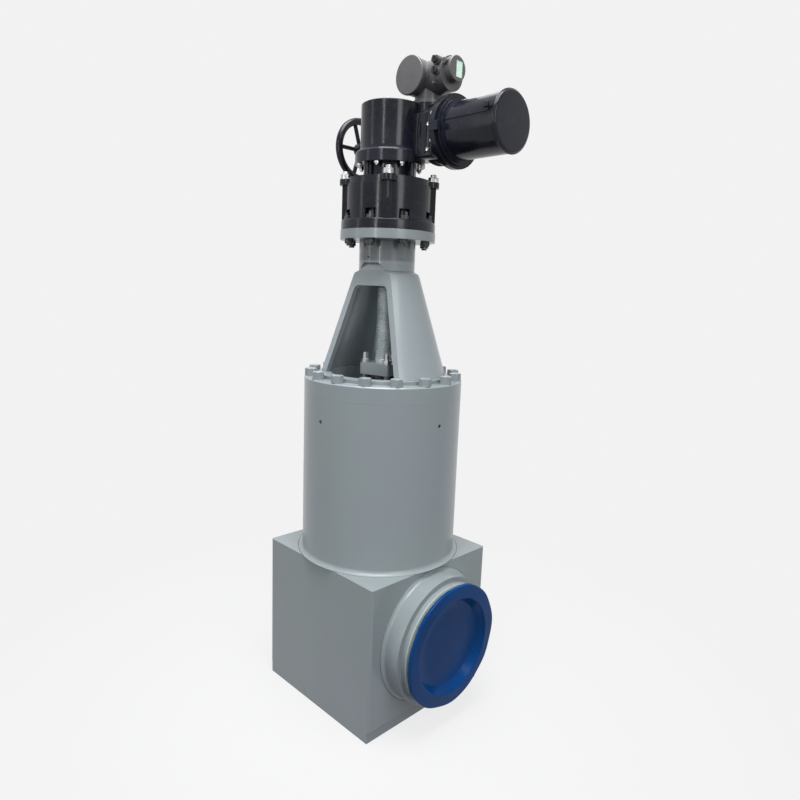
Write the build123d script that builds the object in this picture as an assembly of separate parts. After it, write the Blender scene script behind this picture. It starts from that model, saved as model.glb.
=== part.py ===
"""Motor-operated pressure-seal gate valve with butt-weld ends, built piece by piece.

Millimetres, +Z up along the stem, +X along the pipe towards the outlet. The origin is the
centre of the forged block's underside, on the stem axis. The valve is shown shut.
"""
from build123d import *
from math import cos, pi, radians, sin, sqrt, tan
import os

# Forged block and neck
block_side = 606.0
block_height = 580.0
block_edge_round = 9.0
block_foot_setback = 8.0
block_foot_height = 44.0
port_height = 315.0
neck_radius = 300.0
neck_height = 614.0
neck_bore = 205.0
neck_root_round = 18.0
chamber_length = 170.0
chamber_width = 370.0
chamber_round = 40.0
chamber_floor = 120.0

# Nozzles welded to the block, and the caps that close them for delivery
hub_radius = 243.0
outlet_hub_length = 72.0
inlet_hub_length = 38.0
hub_root_round = 14.0
weld_end_radius = 223.5
weld_end_bore = 183.0
weld_end_length = 33.0
weld_bevel = 12.0
weld_root_face = 3.0
bore_straight = 36.0
cap_rim_inset = 1.0
cap_rim_thickness = 15.0
cap_rim_round = 5.0
cap_recess_radius = 179.0
cap_floor_radius = 156.0
cap_depth = 34.0
cap_wall = 3.2
cap_fit = 0.6

# Seats and wedge gate
seat_bore = 135.0
seat_radius = 160.0
seat_pocket_depth = 25.0
gate_radius = 165.0
gate_half_thickness = 48.0
gate_taper = 5.0
gate_seat_gap = 0.3
gate_recess = 10.0
gate_recess_radius = 118.0
gate_hub_half_length = 58.0
gate_hub_half_width = 60.0
gate_hub_height = 40.0
rail_width = 24.0
rail_depth = 34.0
rail_height = 620.0
rail_clearance = 1.0

# Stem
stem_radius = 32.5
stem_lead = 10.0
stem_travel = 275.0
stem_head_radius = 38.0
stem_head_height = 24.0
stem_head_play = 2.0
stem_neck_radius = 24.0
stem_spare = 10.0
back_seat_radius = 46.0
back_seat_height = 20.0

# Pressure-seal bonnet
slip = 0.5
bonnet_drop = 209.0
bonnet_rim_height = 66.0
seal_ledge = 12.5
seal_height = 30.0
seal_slope = 20.0 / 34.0
spacer_height = 16.0
spacer_bore = 176.0
segment_height = 30.0
segment_radius = 234.0
segment_bore = 172.0
segment_gap = 3.0
segment_count = 4
punch_hole_radius = 7.0
retainer_height = 18.0
retainer_radius = 200.0
retainer_bore = 95.0
retainer_lip = 13.0
bonnet_stud_count = 6
bonnet_stud_pitch = 122.0
bonnet_stud_radius = 10.0
bonnet_stud_depth = 30.0
bonnet_stud_spare = 10.0
bonnet_nut_across = 30.0
bonnet_nut_height = 16.0
bonnet_deck = 41.0

# Stuffing box and gland
box_radius = 88.0
box_height = 260.0
packing_width = 15.0
packing_count = 6
packing_floor = 145.0
bush_collar = 12.0
bush_collar_radius = 60.0
gland_gap = 9.0
gland_side = 132.0
gland_thickness = 44.0
gland_corner = 8.0
gland_stud_offset = 51.0
gland_stud_radius = 10.0
gland_stud_spare = 22.0
gland_stud_hold = 32.0
gland_nut_across = 30.0
gland_nut_height = 16.0

# Yoke
stud_count = 16
stud_pitch = 276.0
stud_radius = 12.0
stud_depth = 42.0
washer_thickness = 3.0
washer_radius = 22.0
bolt_head_across = 40.0
bolt_head_height = 25.0
foot_thickness = 63.0
foot_bore = 200.0
foot_chamfer = 4.0
step_radius = 250.0
step_height = 13.0
cone_foot_radius = 237.0
cone_head_radius = 124.5
cone_height = 362.0
cone_wall = 30.0
face_foot_distance = 154.5
face_head_distance = 92.5
face_wall = 24.0
window_foot_half = 157.0
window_head_half = 70.0
window_roof_margin = 35.0
window_round = 18.0
hollow_roof_rise = 14.0
shoulder_height = 20.0
tube_radius = 104.0
tube_bore = 66.0
tube_height = 108.0
pad_height = 27.0
pad_foot_half = 60.0
pad_head_half = 34.0
vent_radius = 3.0
top_flange_radius = 175.5
top_flange_thickness = 33.0

# Thrust housing with the stem nut and its bearings
flange_bolt_count = 8
flange_bolt_pitch = 149.0
flange_bolt_radius = 10.0
flange_bolt_across = 30.0
flange_bolt_head = 13.0
flange_nut_height = 16.0
flange_bolt_spare = 7.0
housing_flange_radius = 168.5
housing_flange_thickness = 36.0
housing_radius = 156.5
housing_height = 124.0
housing_bore = 101.0
housing_floor_bore = 66.0
housing_floor = 43.0
pocket_radius = 20.5
pocket_height = 34.0
rib_width = 27.0
rib_reach = 171.0
bearing_height = 22.0
bearing_bore = 64.0
bearing_play = 0.3
nut_collar_radius = 92.0
nut_collar_height = 20.0
nut_radius = 60.0
nut_height = 112.0
nut_drop = 8.0
thread_play = 0.1
dog_width = 22.0
dog_height = 14.0
dog_play = 0.4

# Adapter plate with ears, and the coupling drum over it
adapter_radius = 152.0
adapter_thickness = 21.0
adapter_bore = 66.0
ear_width = 58.0
ear_reach = 182.0
ear_bolt_pitch = 160.0
ear_bolt_radius = 11.0
ear_bolt_depth = 60.0
ear_nut_across = 34.0
ear_nut_height = 19.0
ear_bolt_spare = 9.0
drum_radius = 96.0
drum_bore = 72.0
drum_height = 52.0
post_radius = 8.0
post_pitch = 113.0
post_count = 4

# Gearcase
case_flange_radius = 127.5
case_flange_thickness = 44.0
case_neck_height = 15.0
column_radius = 109.5
column_height = 147.0
column_wall = 9.0
roof_thickness = 10.0
roof_opening = 50.0
pedestal_pad_step = 3.0
case_bolt_count = 8
case_bolt_pitch = 116.0
case_bolt_radius = 5.0
case_nut_across = 17.0
case_nut_height = 9.0
case_bolt_depth = 24.0
case_bolt_spare = 5.0
cover_radius = 64.0
cover_thickness = 8.0
cover_screw_count = 6
cover_screw_radius = 4.0
cover_screw_inset = 7.0
worm_offset = 90.0
worm_height = 45.0
tunnel_radius = 56.0
tunnel_reach = 226.0
tunnel_boss_radius = 40.0
tunnel_boss_length = 40.0
worm_cavity = 31.0
arm_start = 143.0
arm_end = 218.0
arm_foot_radius = 101.0
arm_head_radius = 97.0
arm_ring_step = 3.0
arm_ring_width = 7.0
arm_ring_count = 3
arm_ring_pitch = 25.0
arm_cavity = 62.0

# Worm drive
worm_ratio = 20.0
wheel_radius = 67.6
wheel_width = 40.0
worm_radius = 22.0
worm_length = 70.0
worm_shaft_radius = 14.0
shaft_play = 0.05
sleeve_bore = 36.0
sleeve_radius = 48.0
sleeve_foot_radius = 58.0
sleeve_foot_height = 22.0
radial_bearing_width = 16.0
radial_bearing_radius = 80.0
worm_bearing_width = 14.0
worm_bearing_radius = 30.5
worm_bearing_place = 96.0

# Electric motor
motor_flange_radius = 123.0
motor_flange_thickness = 21.0
motor_ring_radius = 112.0
motor_ring_thickness = 11.0
motor_collar_radius = 104.0
motor_collar_thickness = 8.0
motor_radius = 96.0
motor_wall = 8.0
motor_length = 215.0
motor_cap_length = 18.0
motor_cap_round = 9.0
motor_seam_angle = 11.0
motor_seam_size = 2.4
lug_length = 40.0
lug_width = 14.0
lug_height = 30.0
motor_bolt_count = 8
motor_bolt_pitch = 113.0
motor_bolt_radius = 5.0
stator_radius = 87.5
stator_bore = 55.0
stator_length = 110.0
rotor_radius = 54.2

# Handwheel on the far end of the worm shaft
wheel_plane = 273.0
rim_radius = 108.0
rim_section = 14.0
wheel_hub_radius = 26.0
wheel_hub_length = 34.0
spoke_count = 5
spoke_radius = 8.0
hub_nut_across = 24.0
hub_nut_height = 10.0

# Declutch lever
lever_place = -112.0
lever_boss_radius = 20.0
lever_boss_height = 66.0
lever_length = 96.0
lever_lean = 32.0
lever_radius = 6.0
lever_ball = 11.0
lever_hub_radius = 13.0
lever_hub_width = 16.0
lever_pin_radius = 5.0
lever_ear_width = 8.0
lever_play = 0.5

# Electrical head
head_x = 78.0
head_y = 85.0
head_axis = 193.0
pedestal_lead = 20.0
pedestal_radius = 47.0
pedestal_spread = 8.0
pedestal_flange_radius = 58.0
pedestal_flange_thickness = 10.0
head_radius = 62.0
head_front = 73.0
head_back = 80.0
head_wall = 6.0
cover_plate_radius = 65.0
cover_plate_thickness = 12.0
cover_plate_round = 4.0
barrel_foot_radius = 63.0
barrel_head_radius = 57.0
barrel_reach = 126.0
nose_rise = 12.0
nose_foot_radius = 45.0
nose_head_radius = 39.0
nose_reach = 142.0
bezel_radius = 42.0
bezel_thickness = 10.0
bezel_chamfer = 2.5
display_width = 33.0
display_height = 54.0
display_offset = 9.0
display_sink = 2.0
display_glass = 4.0
knob_station = 105.0
knob_rise = 16.0
knob_radius = 11.5
knob_length = 9.0
knob_bar = 5.0
knob_gap = 0.4
knob_spindle_radius = 5.0
knob_spindle_length = 18.0
knob_spacing = 35.0
knob_boss_radius = 15.0
knob_boss_reach = 63.0
head_screw_radius = 4.5
head_screw_height = 5.0
ring_boss_station = 138.0
ring_boss_radius = 10.0
plug_radius = 13.0
plug_length = 20.0
plug_count = 3
plug_spacing = 36.0

# Levels up the valve, each stacked on the one below
neck_top = block_height + neck_height
bonnet_bottom = neck_top - bonnet_drop
foot_top = neck_top + foot_thickness
step_top = foot_top + step_height
cone_top = step_top + cone_height
tube_bottom = cone_top + shoulder_height
tube_top = tube_bottom + tube_height
flange_top = tube_top + top_flange_thickness
housing_flange_top = flange_top + housing_flange_thickness
housing_top = housing_flange_top + housing_height
adapter_top = housing_top + adapter_thickness
drum_top = adapter_top + drum_height
case_flange_top = drum_top + case_flange_thickness
column_bottom = case_flange_top + case_neck_height
column_top = column_bottom + column_height
worm_level = column_bottom + worm_height
head_level = worm_level + head_axis
block_half = block_side / 2
window_height = cone_height - window_roof_margin
cap_rim_radius = weld_end_radius - cap_rim_inset

yoke_turn = 180.0 / stud_count
gate_slope = tan(radians(gate_taper))


def turned(profile):
    """A solid turned about Z from (radius, height) corners."""
    corners = [(radius, 0, height) for radius, height in profile]
    return revolve(make_face(Polyline(*corners, close=True)), Axis.Z)


def hollow_corner(radius, level, size):
    """Corners of a concave quarter round, from a surface at a level up to a wall at a radius."""
    steps = 6
    turns = [radians(90.0 * i / steps) for i in range(steps + 1)]
    return [(radius + size * (1 - sin(turn)), level + size * (1 - cos(turn))) for turn in turns]


def drum(radius, low, high, x=0.0, y=0.0):
    """An upright cylinder between two levels."""
    return Pos(x, y, (low + high) / 2) * Cylinder(radius, high - low)


def ring(outer, inner, low, high, x=0.0, y=0.0):
    """An upright ring between two levels."""
    return drum(outer, low, high, x, y) - drum(inner, low - 1, high + 1, x, y)


def bar_x(radius, start, end, y=0.0, z=0.0):
    """A round bar along X."""
    return Pos((start + end) / 2, y, z) * Rot(0, 90, 0) * Cylinder(radius, end - start)


def cone_x(first, last, start, end, y=0.0, z=0.0):
    """A tapered round bar along X."""
    return Pos((start + end) / 2, y, z) * Rot(0, 90, 0) * Cone(first, last, end - start)


def block(x0, x1, y0, y1, z0, z1):
    """A box between opposite corners."""
    return Pos((x0 + x1) / 2, (y0 + y1) / 2, (z0 + z1) / 2) * Box(x1 - x0, y1 - y0, z1 - z0)


def around(shape, count, start=0.0):
    """Copies of a shape spread evenly about Z."""
    return [Rot(0, 0, start + i * 360.0 / count) * shape for i in range(count)]


def hexagon(across, low, high, x=0.0, y=0.0):
    """An upright hexagon prism with its corners taken off at the top."""
    prism = Pos(x, y, low) * extrude(RegularPolygon(across / sqrt(3), 6), high - low)
    crown = across * 0.56
    rim = across * 0.5 * 0.96
    drop = (crown - rim) * 0.6
    cap = turned([(0, low), (crown, low), (crown, high - drop), (rim, high), (0, high)])
    return prism & (Pos(x, y, 0) * cap)


def prism_y(points, reach):
    """An outline in X and Z, carried both ways along Y."""
    face = make_face(Polyline(*[(x, -reach, z) for x, z in points], close=True))
    return extrude(face, amount=2 * reach, dir=(0, 1, 0))


def prism_x(points, reach):
    """An outline in Y and Z, carried both ways along X."""
    face = make_face(Polyline(*[(-reach, y, z) for y, z in points], close=True))
    return extrude(face, amount=2 * reach, dir=(1, 0, 0))


def facing_out(shape):
    """Turns a shape made along +X to stand on the inlet side."""
    return Rot(0, 0, 180) * shape


# Body


def body_block():
    forging = block(-block_half, block_half, -block_half, block_half, 0, block_height)
    forging = fillet(forging.edges().filter_by(Axis.Z), block_edge_round)
    chamber = extrude(RectangleRounded(chamber_length, chamber_width, chamber_round), block_height)
    forging -= Pos(0, 0, chamber_floor) * chamber
    forging -= bar_x(seat_bore, -block_side, block_side, 0, port_height)
    pocket = chamber_length / 2 + seat_pocket_depth
    forging -= bar_x(seat_radius + slip, -pocket, pocket, 0, port_height)
    for side in (-1, 1):
        low, high = sorted((side * (block_half - block_foot_setback), side * (block_half + 1)))
        forging -= block(low, high, -block_side, block_side, -1, block_foot_height)
    return forging


def body_neck():
    groove_low = bonnet_bottom + bonnet_rim_height + seal_height + spacer_height
    groove_high = groove_low + segment_height + slip
    neck = turned([
        (neck_bore, block_height),
        *hollow_corner(neck_radius, block_height, neck_root_round),
        (neck_radius, neck_top),
        (neck_bore, neck_top),
        (neck_bore, groove_high),
        (segment_radius + slip, groove_high),
        (segment_radius + slip, groove_low - slip),
        (neck_bore, groove_low - slip),
    ])
    level = groove_low + segment_height / 2
    punch = bar_x(punch_hole_radius, neck_bore, neck_radius + 5, 0, level)
    neck -= around(punch, segment_count)
    tapped = drum(stud_radius + slip, neck_top - stud_depth - 4, neck_top + 1, stud_pitch)
    neck -= around(tapped, stud_count, yoke_turn)
    return neck


def weld_tip(hub_length):
    """Where a nozzle ends along X."""
    return block_half + hub_length + weld_end_length


def hub(hub_length):
    start = block_half
    face = start + hub_length
    tip = weld_tip(hub_length)
    return turned_x([
        (seat_bore, start),
        *hollow_corner(hub_radius, start, hub_root_round),
        (hub_radius, face),
        (weld_end_radius, face),
        (weld_end_radius, tip - weld_bevel),
        (weld_end_bore + weld_root_face, tip),
        (weld_end_bore, tip),
        (weld_end_bore, tip - bore_straight),
    ])


def turned_x(profile):
    """A solid turned about the port axis from (radius, distance along X) corners."""
    corners = [(along, 0, port_height + radius) for radius, along in profile]
    axis = Axis((0, 0, port_height), (1, 0, 0))
    return revolve(make_face(Polyline(*corners, close=True)), axis)


def end_cap(hub_length):
    tip = weld_tip(hub_length)
    front = tip + cap_rim_thickness
    floor = front - cap_depth
    plug = weld_end_bore - cap_fit
    skirt = tip - 0.45 * (tip - floor)
    cap = turned_x([
        (0, floor - cap_wall),
        (cap_floor_radius + cap_wall, floor - cap_wall),
        (plug - 8, floor - cap_wall + 2),
        (plug, skirt),
        (plug, tip),
        (cap_rim_radius, tip),
        (cap_rim_radius, front),
        (cap_recess_radius, front),
        (cap_floor_radius, floor),
        (0, floor),
    ])
    rims = cap.edges().filter_by(GeomType.CIRCLE)
    outer = [edge for edge in rims if abs(edge.radius - cap_rim_radius) < 0.01]
    return fillet(outer, cap_rim_round)


def seat_ring():
    back = chamber_length / 2 + seat_pocket_depth
    ring_solid = bar_x(seat_radius, 0, back, 0, port_height) - bar_x(seat_bore, -1, back + 1, 0, port_height)
    reach = seat_radius + 5
    near = gate_half_thickness + gate_seat_gap
    slope = reach * gate_slope
    keep = prism_y([
        (near - slope, port_height - reach),
        (near + slope, port_height + reach),
        (back + 5, port_height + reach),
        (back + 5, port_height - reach),
    ], reach)
    return ring_solid & keep


def guide_rails():
    outer = chamber_width / 2
    rail = block(-rail_width / 2, rail_width / 2, outer - rail_depth, outer,
                 chamber_floor, chamber_floor + rail_height)
    return [rail, Rot(0, 0, 180) * rail]


def gate():
    reach = gate_radius + 5
    slope = reach * gate_slope
    disc = bar_x(gate_radius, -100, 100, 0, port_height)
    wedge = prism_y([
        (-gate_half_thickness - slope, port_height + reach),
        (gate_half_thickness + slope, port_height + reach),
        (gate_half_thickness - slope, port_height - reach),
        (-gate_half_thickness + slope, port_height - reach),
    ], reach)
    gate_body = disc & wedge
    hub_bottom = port_height + gate_radius * 0.75
    hub_top = port_height + gate_radius + gate_hub_height
    gate_body += block(-gate_hub_half_length, gate_hub_half_length, -gate_hub_half_width,
                       gate_hub_half_width, hub_bottom, hub_top)
    for side in (-1, 1):
        tilt = Pos(side * gate_half_thickness, 0, port_height) * Rot(0, side * gate_taper, 0)
        gate_body -= tilt * Rot(0, 90, 0) * Cylinder(gate_recess_radius, 2 * gate_recess)
    outer = chamber_width / 2
    half = rail_width / 2 + rail_clearance
    for side in (-1, 1):
        inner = outer - rail_depth - rail_clearance
        low, high = sorted((side * inner, side * (outer + 10)))
        gate_body -= block(-half, half, low, high, port_height - reach, port_height + reach)
    slot_floor = stem_foot()
    neck_slot = stem_neck_radius + 1
    head_slot = stem_head_radius + 1
    head_top = slot_floor + stem_head_height + stem_head_play
    gate_body -= block(-head_slot, head_slot, -reach, reach, slot_floor, head_top)
    gate_body -= block(-neck_slot, neck_slot, -reach, reach, slot_floor, hub_top + 1)
    return gate_body


def stem_foot():
    """Level of the stem's foot, which stands on the floor of the gate's slot."""
    return port_height + gate_radius + gate_hub_height - 50.0


def back_seat_level():
    """Top of the stem's back-seat collar with the valve shut."""
    return bonnet_bottom - stem_travel + back_seat_radius - stem_radius - slip


def nut_bottom():
    return flange_top + housing_floor - nut_drop


def stem_end():
    """Top of the stem, which stays under the gearcase's cover when the valve is open."""
    return column_top - stem_travel - stem_spare


def stem():
    foot = stem_foot()
    shoulder = port_height + gate_radius + gate_hub_height
    seat = back_seat_level()
    chamfer = back_seat_radius - stem_radius
    top = stem_end()
    return turned([
        (0, foot),
        (stem_head_radius, foot),
        (stem_head_radius, foot + stem_head_height),
        (stem_neck_radius, foot + stem_head_height),
        (stem_neck_radius, shoulder),
        (stem_radius, shoulder),
        (stem_radius, seat - back_seat_height),
        (back_seat_radius, seat - back_seat_height),
        (back_seat_radius, seat - chamfer),
        (stem_radius, seat),
        (stem_radius, top - 4),
        (stem_radius - 4, top),
        (0, top),
    ])


# Pressure seal and stuffing box


def bonnet():
    rim = neck_bore - slip
    ledge = bonnet_bottom + bonnet_rim_height
    deck = ledge + bonnet_deck
    box_top = bonnet_bottom + box_height
    taper_foot = rim - seal_ledge
    taper_head = taper_foot - bonnet_deck * seal_slope
    bore = stem_radius + slip
    chamfer = back_seat_radius - stem_radius
    chamber = stem_radius + packing_width
    floor = bonnet_bottom + packing_floor
    cover = turned([
        (bore + chamfer, bonnet_bottom),
        (rim, bonnet_bottom),
        (rim, ledge),
        (taper_foot, ledge),
        (taper_head, deck),
        (box_radius, deck),
        (box_radius, box_top),
        (chamber + slip, box_top),
        (chamber + slip, floor),
        (bore, floor),
        (bore, bonnet_bottom + chamfer),
    ])
    tapped = drum(bonnet_stud_radius + slip, deck - bonnet_stud_depth - 4, deck + 1, bonnet_stud_pitch)
    cover -= around(tapped, bonnet_stud_count, 30)
    gland_hole = drum(gland_stud_radius + slip, box_top - gland_stud_hold - 2, box_top + 1,
                      gland_stud_offset * sqrt(2))
    cover -= around(gland_hole, 4, 45 + yoke_turn)
    return cover


def seal_ring():
    ledge = bonnet_bottom + bonnet_rim_height
    taper_foot = neck_bore - slip - seal_ledge + slip
    outer = neck_bore - slip
    return turned([
        (taper_foot, ledge),
        (outer, ledge),
        (outer, ledge + seal_height),
        (taper_foot - seal_height * seal_slope, ledge + seal_height),
    ])


def spacer_ring():
    low = bonnet_bottom + bonnet_rim_height + seal_height
    return ring(neck_bore - slip, spacer_bore, low, low + spacer_height)


def thrust_segments():
    low = bonnet_bottom + bonnet_rim_height + seal_height + spacer_height
    whole = ring(segment_radius, segment_bore, low, low + segment_height)
    reach = segment_radius + 10
    pieces = []
    for i in range(segment_count):
        quarter = block(segment_gap / 2, reach, segment_gap / 2, reach, low - 1, low + segment_height + 1)
        pieces.append(whole & (Rot(0, 0, 45 + i * 360 / segment_count) * quarter))
    return pieces


def retainer_plate():
    low = bonnet_bottom + bonnet_rim_height + seal_height + spacer_height
    deck = low + segment_height
    lip = segment_bore - slip
    plate = turned([
        (lip - retainer_lip, low),
        (lip, low),
        (lip, deck),
        (retainer_radius, deck),
        (retainer_radius, deck + retainer_height),
        (retainer_bore, deck + retainer_height),
        (retainer_bore, deck),
        (lip - retainer_lip, deck),
    ])
    hole = drum(bonnet_stud_radius + 1, deck - 1, deck + retainer_height + 1, bonnet_stud_pitch)
    return plate - around(hole, bonnet_stud_count, 30)


def retainer_top():
    return (bonnet_bottom + bonnet_rim_height + seal_height + spacer_height
            + segment_height + retainer_height)


def bonnet_studs():
    deck = bonnet_bottom + bonnet_rim_height + bonnet_deck
    top = retainer_top()
    end = top + bonnet_nut_height + bonnet_stud_spare
    stud = drum(bonnet_stud_radius, deck - bonnet_stud_depth, end, bonnet_stud_pitch)
    return around(stud, bonnet_stud_count, 30)


def bonnet_nuts():
    top = retainer_top()
    end = top + bonnet_nut_height
    nut = hexagon(bonnet_nut_across, top, end, bonnet_stud_pitch)
    nut -= drum(bonnet_stud_radius + slip, top - 1, end + 1, bonnet_stud_pitch)
    return around(nut, bonnet_stud_count, 30)


def packing_rings():
    floor = bonnet_bottom + packing_floor
    rings = []
    for i in range(packing_count):
        low = floor + i * packing_width
        rings.append(ring(stem_radius + packing_width, stem_radius + slip, low, low + packing_width))
    return rings


def gland_bush():
    low = bonnet_bottom + packing_floor + packing_count * packing_width
    box_top = bonnet_bottom + box_height
    deck = box_top + gland_gap
    return turned([
        (stem_radius + slip, low),
        (stem_radius + packing_width, low),
        (stem_radius + packing_width, deck),
        (bush_collar_radius, deck),
        (bush_collar_radius, deck + bush_collar),
        (stem_radius + slip, deck + bush_collar),
    ])


def gland_bottom():
    return bonnet_bottom + box_height + gland_gap + bush_collar


def gland_flange():
    low = gland_bottom()
    plate = extrude(RectangleRounded(gland_side, gland_side, gland_corner), gland_thickness)
    plate = Rot(0, 0, yoke_turn) * Pos(0, 0, low) * plate
    plate -= drum(stem_radius + 3, low - 1, low + gland_thickness + 1)
    reach = gland_stud_offset * sqrt(2)
    hole = drum(gland_stud_radius + 1, low - 1, low + gland_thickness + 1, reach)
    return plate - around(hole, 4, 45 + yoke_turn)


def gland_studs():
    bottom = bonnet_bottom + box_height - gland_stud_hold
    top = gland_bottom() + gland_thickness + gland_nut_height + gland_stud_spare
    stud = drum(gland_stud_radius, bottom, top, gland_stud_offset * sqrt(2))
    return around(stud, 4, 45 + yoke_turn)


def gland_nuts():
    low = gland_bottom() + gland_thickness
    reach = gland_stud_offset * sqrt(2)
    end = low + gland_nut_height
    nut = hexagon(gland_nut_across, low, end, reach)
    nut -= drum(gland_stud_radius + slip, low - 1, end + 1, reach)
    return around(nut, 4, 45 + yoke_turn)


# Yoke


def face_distance(level):
    """How far the yoke's flat faces stand from the stem axis at a level."""
    share = (level - step_top) / cone_height
    return face_foot_distance + share * (face_head_distance - face_foot_distance)


def face_cut(low, high, wide):
    """What the two flat faces take off between two levels."""
    far = neck_radius + 50
    near_low = face_distance(low)
    near_high = face_distance(high)
    side = prism_x([(-near_low, low), (-near_high, high), (-far, high), (-far, low)], wide)
    return side + Rot(0, 0, 180) * side


def yoke():
    shell = turned([
        (0, neck_top),
        (neck_radius, neck_top),
        (neck_radius, foot_top - foot_chamfer),
        (neck_radius - foot_chamfer, foot_top),
        (step_radius, foot_top),
        (step_radius, step_top),
        (cone_foot_radius, step_top),
        (cone_head_radius, cone_top),
        (cone_head_radius - 5, cone_top + 0.55 * shoulder_height),
        (tube_radius, tube_bottom),
        (0, tube_bottom),
    ])
    shell -= face_cut(step_top, tube_bottom + 1, neck_radius + 50)
    roof = step_top + window_height + hollow_roof_rise
    cone_slope = (cone_foot_radius - cone_head_radius) / cone_height
    foot_inside = cone_foot_radius - cone_wall
    roof_inside = foot_inside - cone_slope * (roof - step_top)
    hollow = turned([
        (0, step_top),
        (foot_inside, step_top),
        (roof_inside, roof),
        (0, roof),
    ])
    low_gap = face_distance(step_top) - face_wall
    high_gap = face_distance(roof) - face_wall
    hollow &= prism_x([(-low_gap, step_top), (low_gap, step_top), (high_gap, roof), (-high_gap, roof)],
                      neck_radius)
    shell -= hollow
    shell -= drum(foot_bore, neck_top - 1, step_top + 0.01)
    shell -= drum(tube_bore, roof - 1, tube_bottom + 1)
    head = step_top + window_height
    window = prism_y([
        (-window_foot_half, step_top),
        (window_foot_half, step_top),
        (window_head_half, head),
        (-window_head_half, head),
    ], neck_radius)
    corners = [edge for edge in window.edges().filter_by(Axis.Y) if edge.center().Z > head - 1]
    shell -= fillet(corners, window_round)
    hole = drum(stud_radius + 1.5, neck_top - 1, step_top, stud_pitch)
    shell -= around(hole, stud_count)
    return Rot(0, 0, yoke_turn) * shell


def yoke_tube():
    tube = ring(tube_radius, tube_bore, tube_bottom, tube_top)
    pad_top = tube_bottom + pad_height
    outline = prism_y([
        (-pad_foot_half, tube_bottom - 1),
        (pad_foot_half, tube_bottom - 1),
        (pad_head_half, pad_top),
        (-pad_head_half, pad_top),
    ], neck_radius)
    tube -= face_cut(tube_bottom - 1, pad_top + 1, pad_foot_half + 20) & outline
    vent = Pos(0, -tube_radius, pad_top + 20) * Rot(90, 0, 0) * Cylinder(vent_radius, 30)
    tube -= Rot(0, 0, -5) * vent
    return Rot(0, 0, yoke_turn) * tube


def yoke_flange():
    plate = ring(top_flange_radius, tube_bore, tube_top, flange_top)
    hole = drum(flange_bolt_radius + 1, tube_top - 1, flange_top + 1, flange_bolt_pitch)
    return plate - around(hole, flange_bolt_count, 180.0 / flange_bolt_count)


def yoke_bolts():
    deck = foot_top + washer_thickness
    bolt = drum(stud_radius, neck_top - stud_depth, deck + 1, stud_pitch)
    bolt += hexagon(bolt_head_across, deck, deck + bolt_head_height, stud_pitch)
    return around(bolt, stud_count, yoke_turn)


def yoke_washers():
    washer = ring(washer_radius, stud_radius + slip, foot_top, foot_top + washer_thickness, stud_pitch)
    return around(washer, stud_count, yoke_turn)


# Thrust housing


def thrust_housing():
    body = turned([
        (housing_floor_bore, flange_top),
        (housing_flange_radius, flange_top),
        (housing_flange_radius, housing_flange_top),
        (housing_radius, housing_flange_top),
        (housing_radius, housing_top),
        (housing_bore, housing_top),
        (housing_bore, flange_top + housing_floor),
        (housing_floor_bore, flange_top + housing_floor),
    ])
    rib = block(housing_radius - 8, rib_reach, -rib_width / 2, rib_width / 2,
                housing_flange_top, housing_top)
    for piece in around(rib, 4, 45):
        body += piece
    pocket = drum(pocket_radius, housing_flange_top, housing_flange_top + pocket_height,
                  flange_bolt_pitch)
    start = 180.0 / flange_bolt_count
    body -= around(pocket, flange_bolt_count, start)
    hole = drum(flange_bolt_radius + 1, flange_top - 1, housing_flange_top + 1, flange_bolt_pitch)
    body -= around(hole, flange_bolt_count, start)
    tapped = drum(ear_bolt_radius + slip, housing_top - ear_bolt_depth - 3, housing_top + 1,
                  ear_bolt_pitch)
    body -= around(tapped, 4, 45)
    return body


def flange_bolts():
    low = tube_top - flange_nut_height - flange_bolt_spare
    bolt = drum(flange_bolt_radius, low, housing_flange_top, flange_bolt_pitch)
    bolt += hexagon(flange_bolt_across, housing_flange_top, housing_flange_top + flange_bolt_head,
                    flange_bolt_pitch)
    return around(bolt, flange_bolt_count, 180.0 / flange_bolt_count)


def flange_nuts():
    low = tube_top - flange_nut_height
    nut = hexagon(flange_bolt_across, low, tube_top, flange_bolt_pitch)
    nut -= drum(flange_bolt_radius + slip, low - 1, tube_top + 1, flange_bolt_pitch)
    return around(nut, flange_bolt_count, 180.0 / flange_bolt_count)


def collar_bottom():
    return flange_top + housing_floor + bearing_height + bearing_play


def thrust_bearings():
    below = flange_top + housing_floor
    above = collar_bottom() + nut_collar_height + bearing_play
    return [ring(housing_bore - slip, bearing_bore, low, low + bearing_height) for low in (below, above)]


def stem_nut():
    low = nut_bottom()
    top = low + nut_height
    collar = collar_bottom()
    nut = drum(nut_radius, low, top)
    nut += drum(nut_collar_radius, collar, collar + nut_collar_height)
    dog = block(stem_radius, nut_radius - 2, -dog_width / 2, dog_width / 2, top - 1, top + dog_height)
    for piece in around(dog, 2):
        nut += piece
    return nut - drum(stem_radius + thread_play, low - 1, top + dog_height + 1)


def adapter_plate():
    plate = drum(adapter_radius, housing_top, adapter_top)
    ear = block(0, ear_reach - ear_width / 2, -ear_width / 2, ear_width / 2, housing_top, adapter_top)
    ear += drum(ear_width / 2, housing_top, adapter_top, ear_reach - ear_width / 2)
    for piece in around(ear, 4, 45):
        plate += piece
    seat = collar_bottom() + nut_collar_height + bearing_play + bearing_height
    plate += ring(housing_bore - slip, adapter_bore, seat, housing_top + 1)
    plate -= drum(adapter_bore, seat - 1, adapter_top + 1)
    hole = drum(ear_bolt_radius + 1, housing_top - 1, adapter_top + 1, ear_bolt_pitch)
    return plate - around(hole, 4, 45)


def ear_studs():
    top = adapter_top + ear_nut_height + ear_bolt_spare
    stud = drum(ear_bolt_radius, housing_top - ear_bolt_depth, top, ear_bolt_pitch)
    return around(stud, 4, 45)


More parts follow.
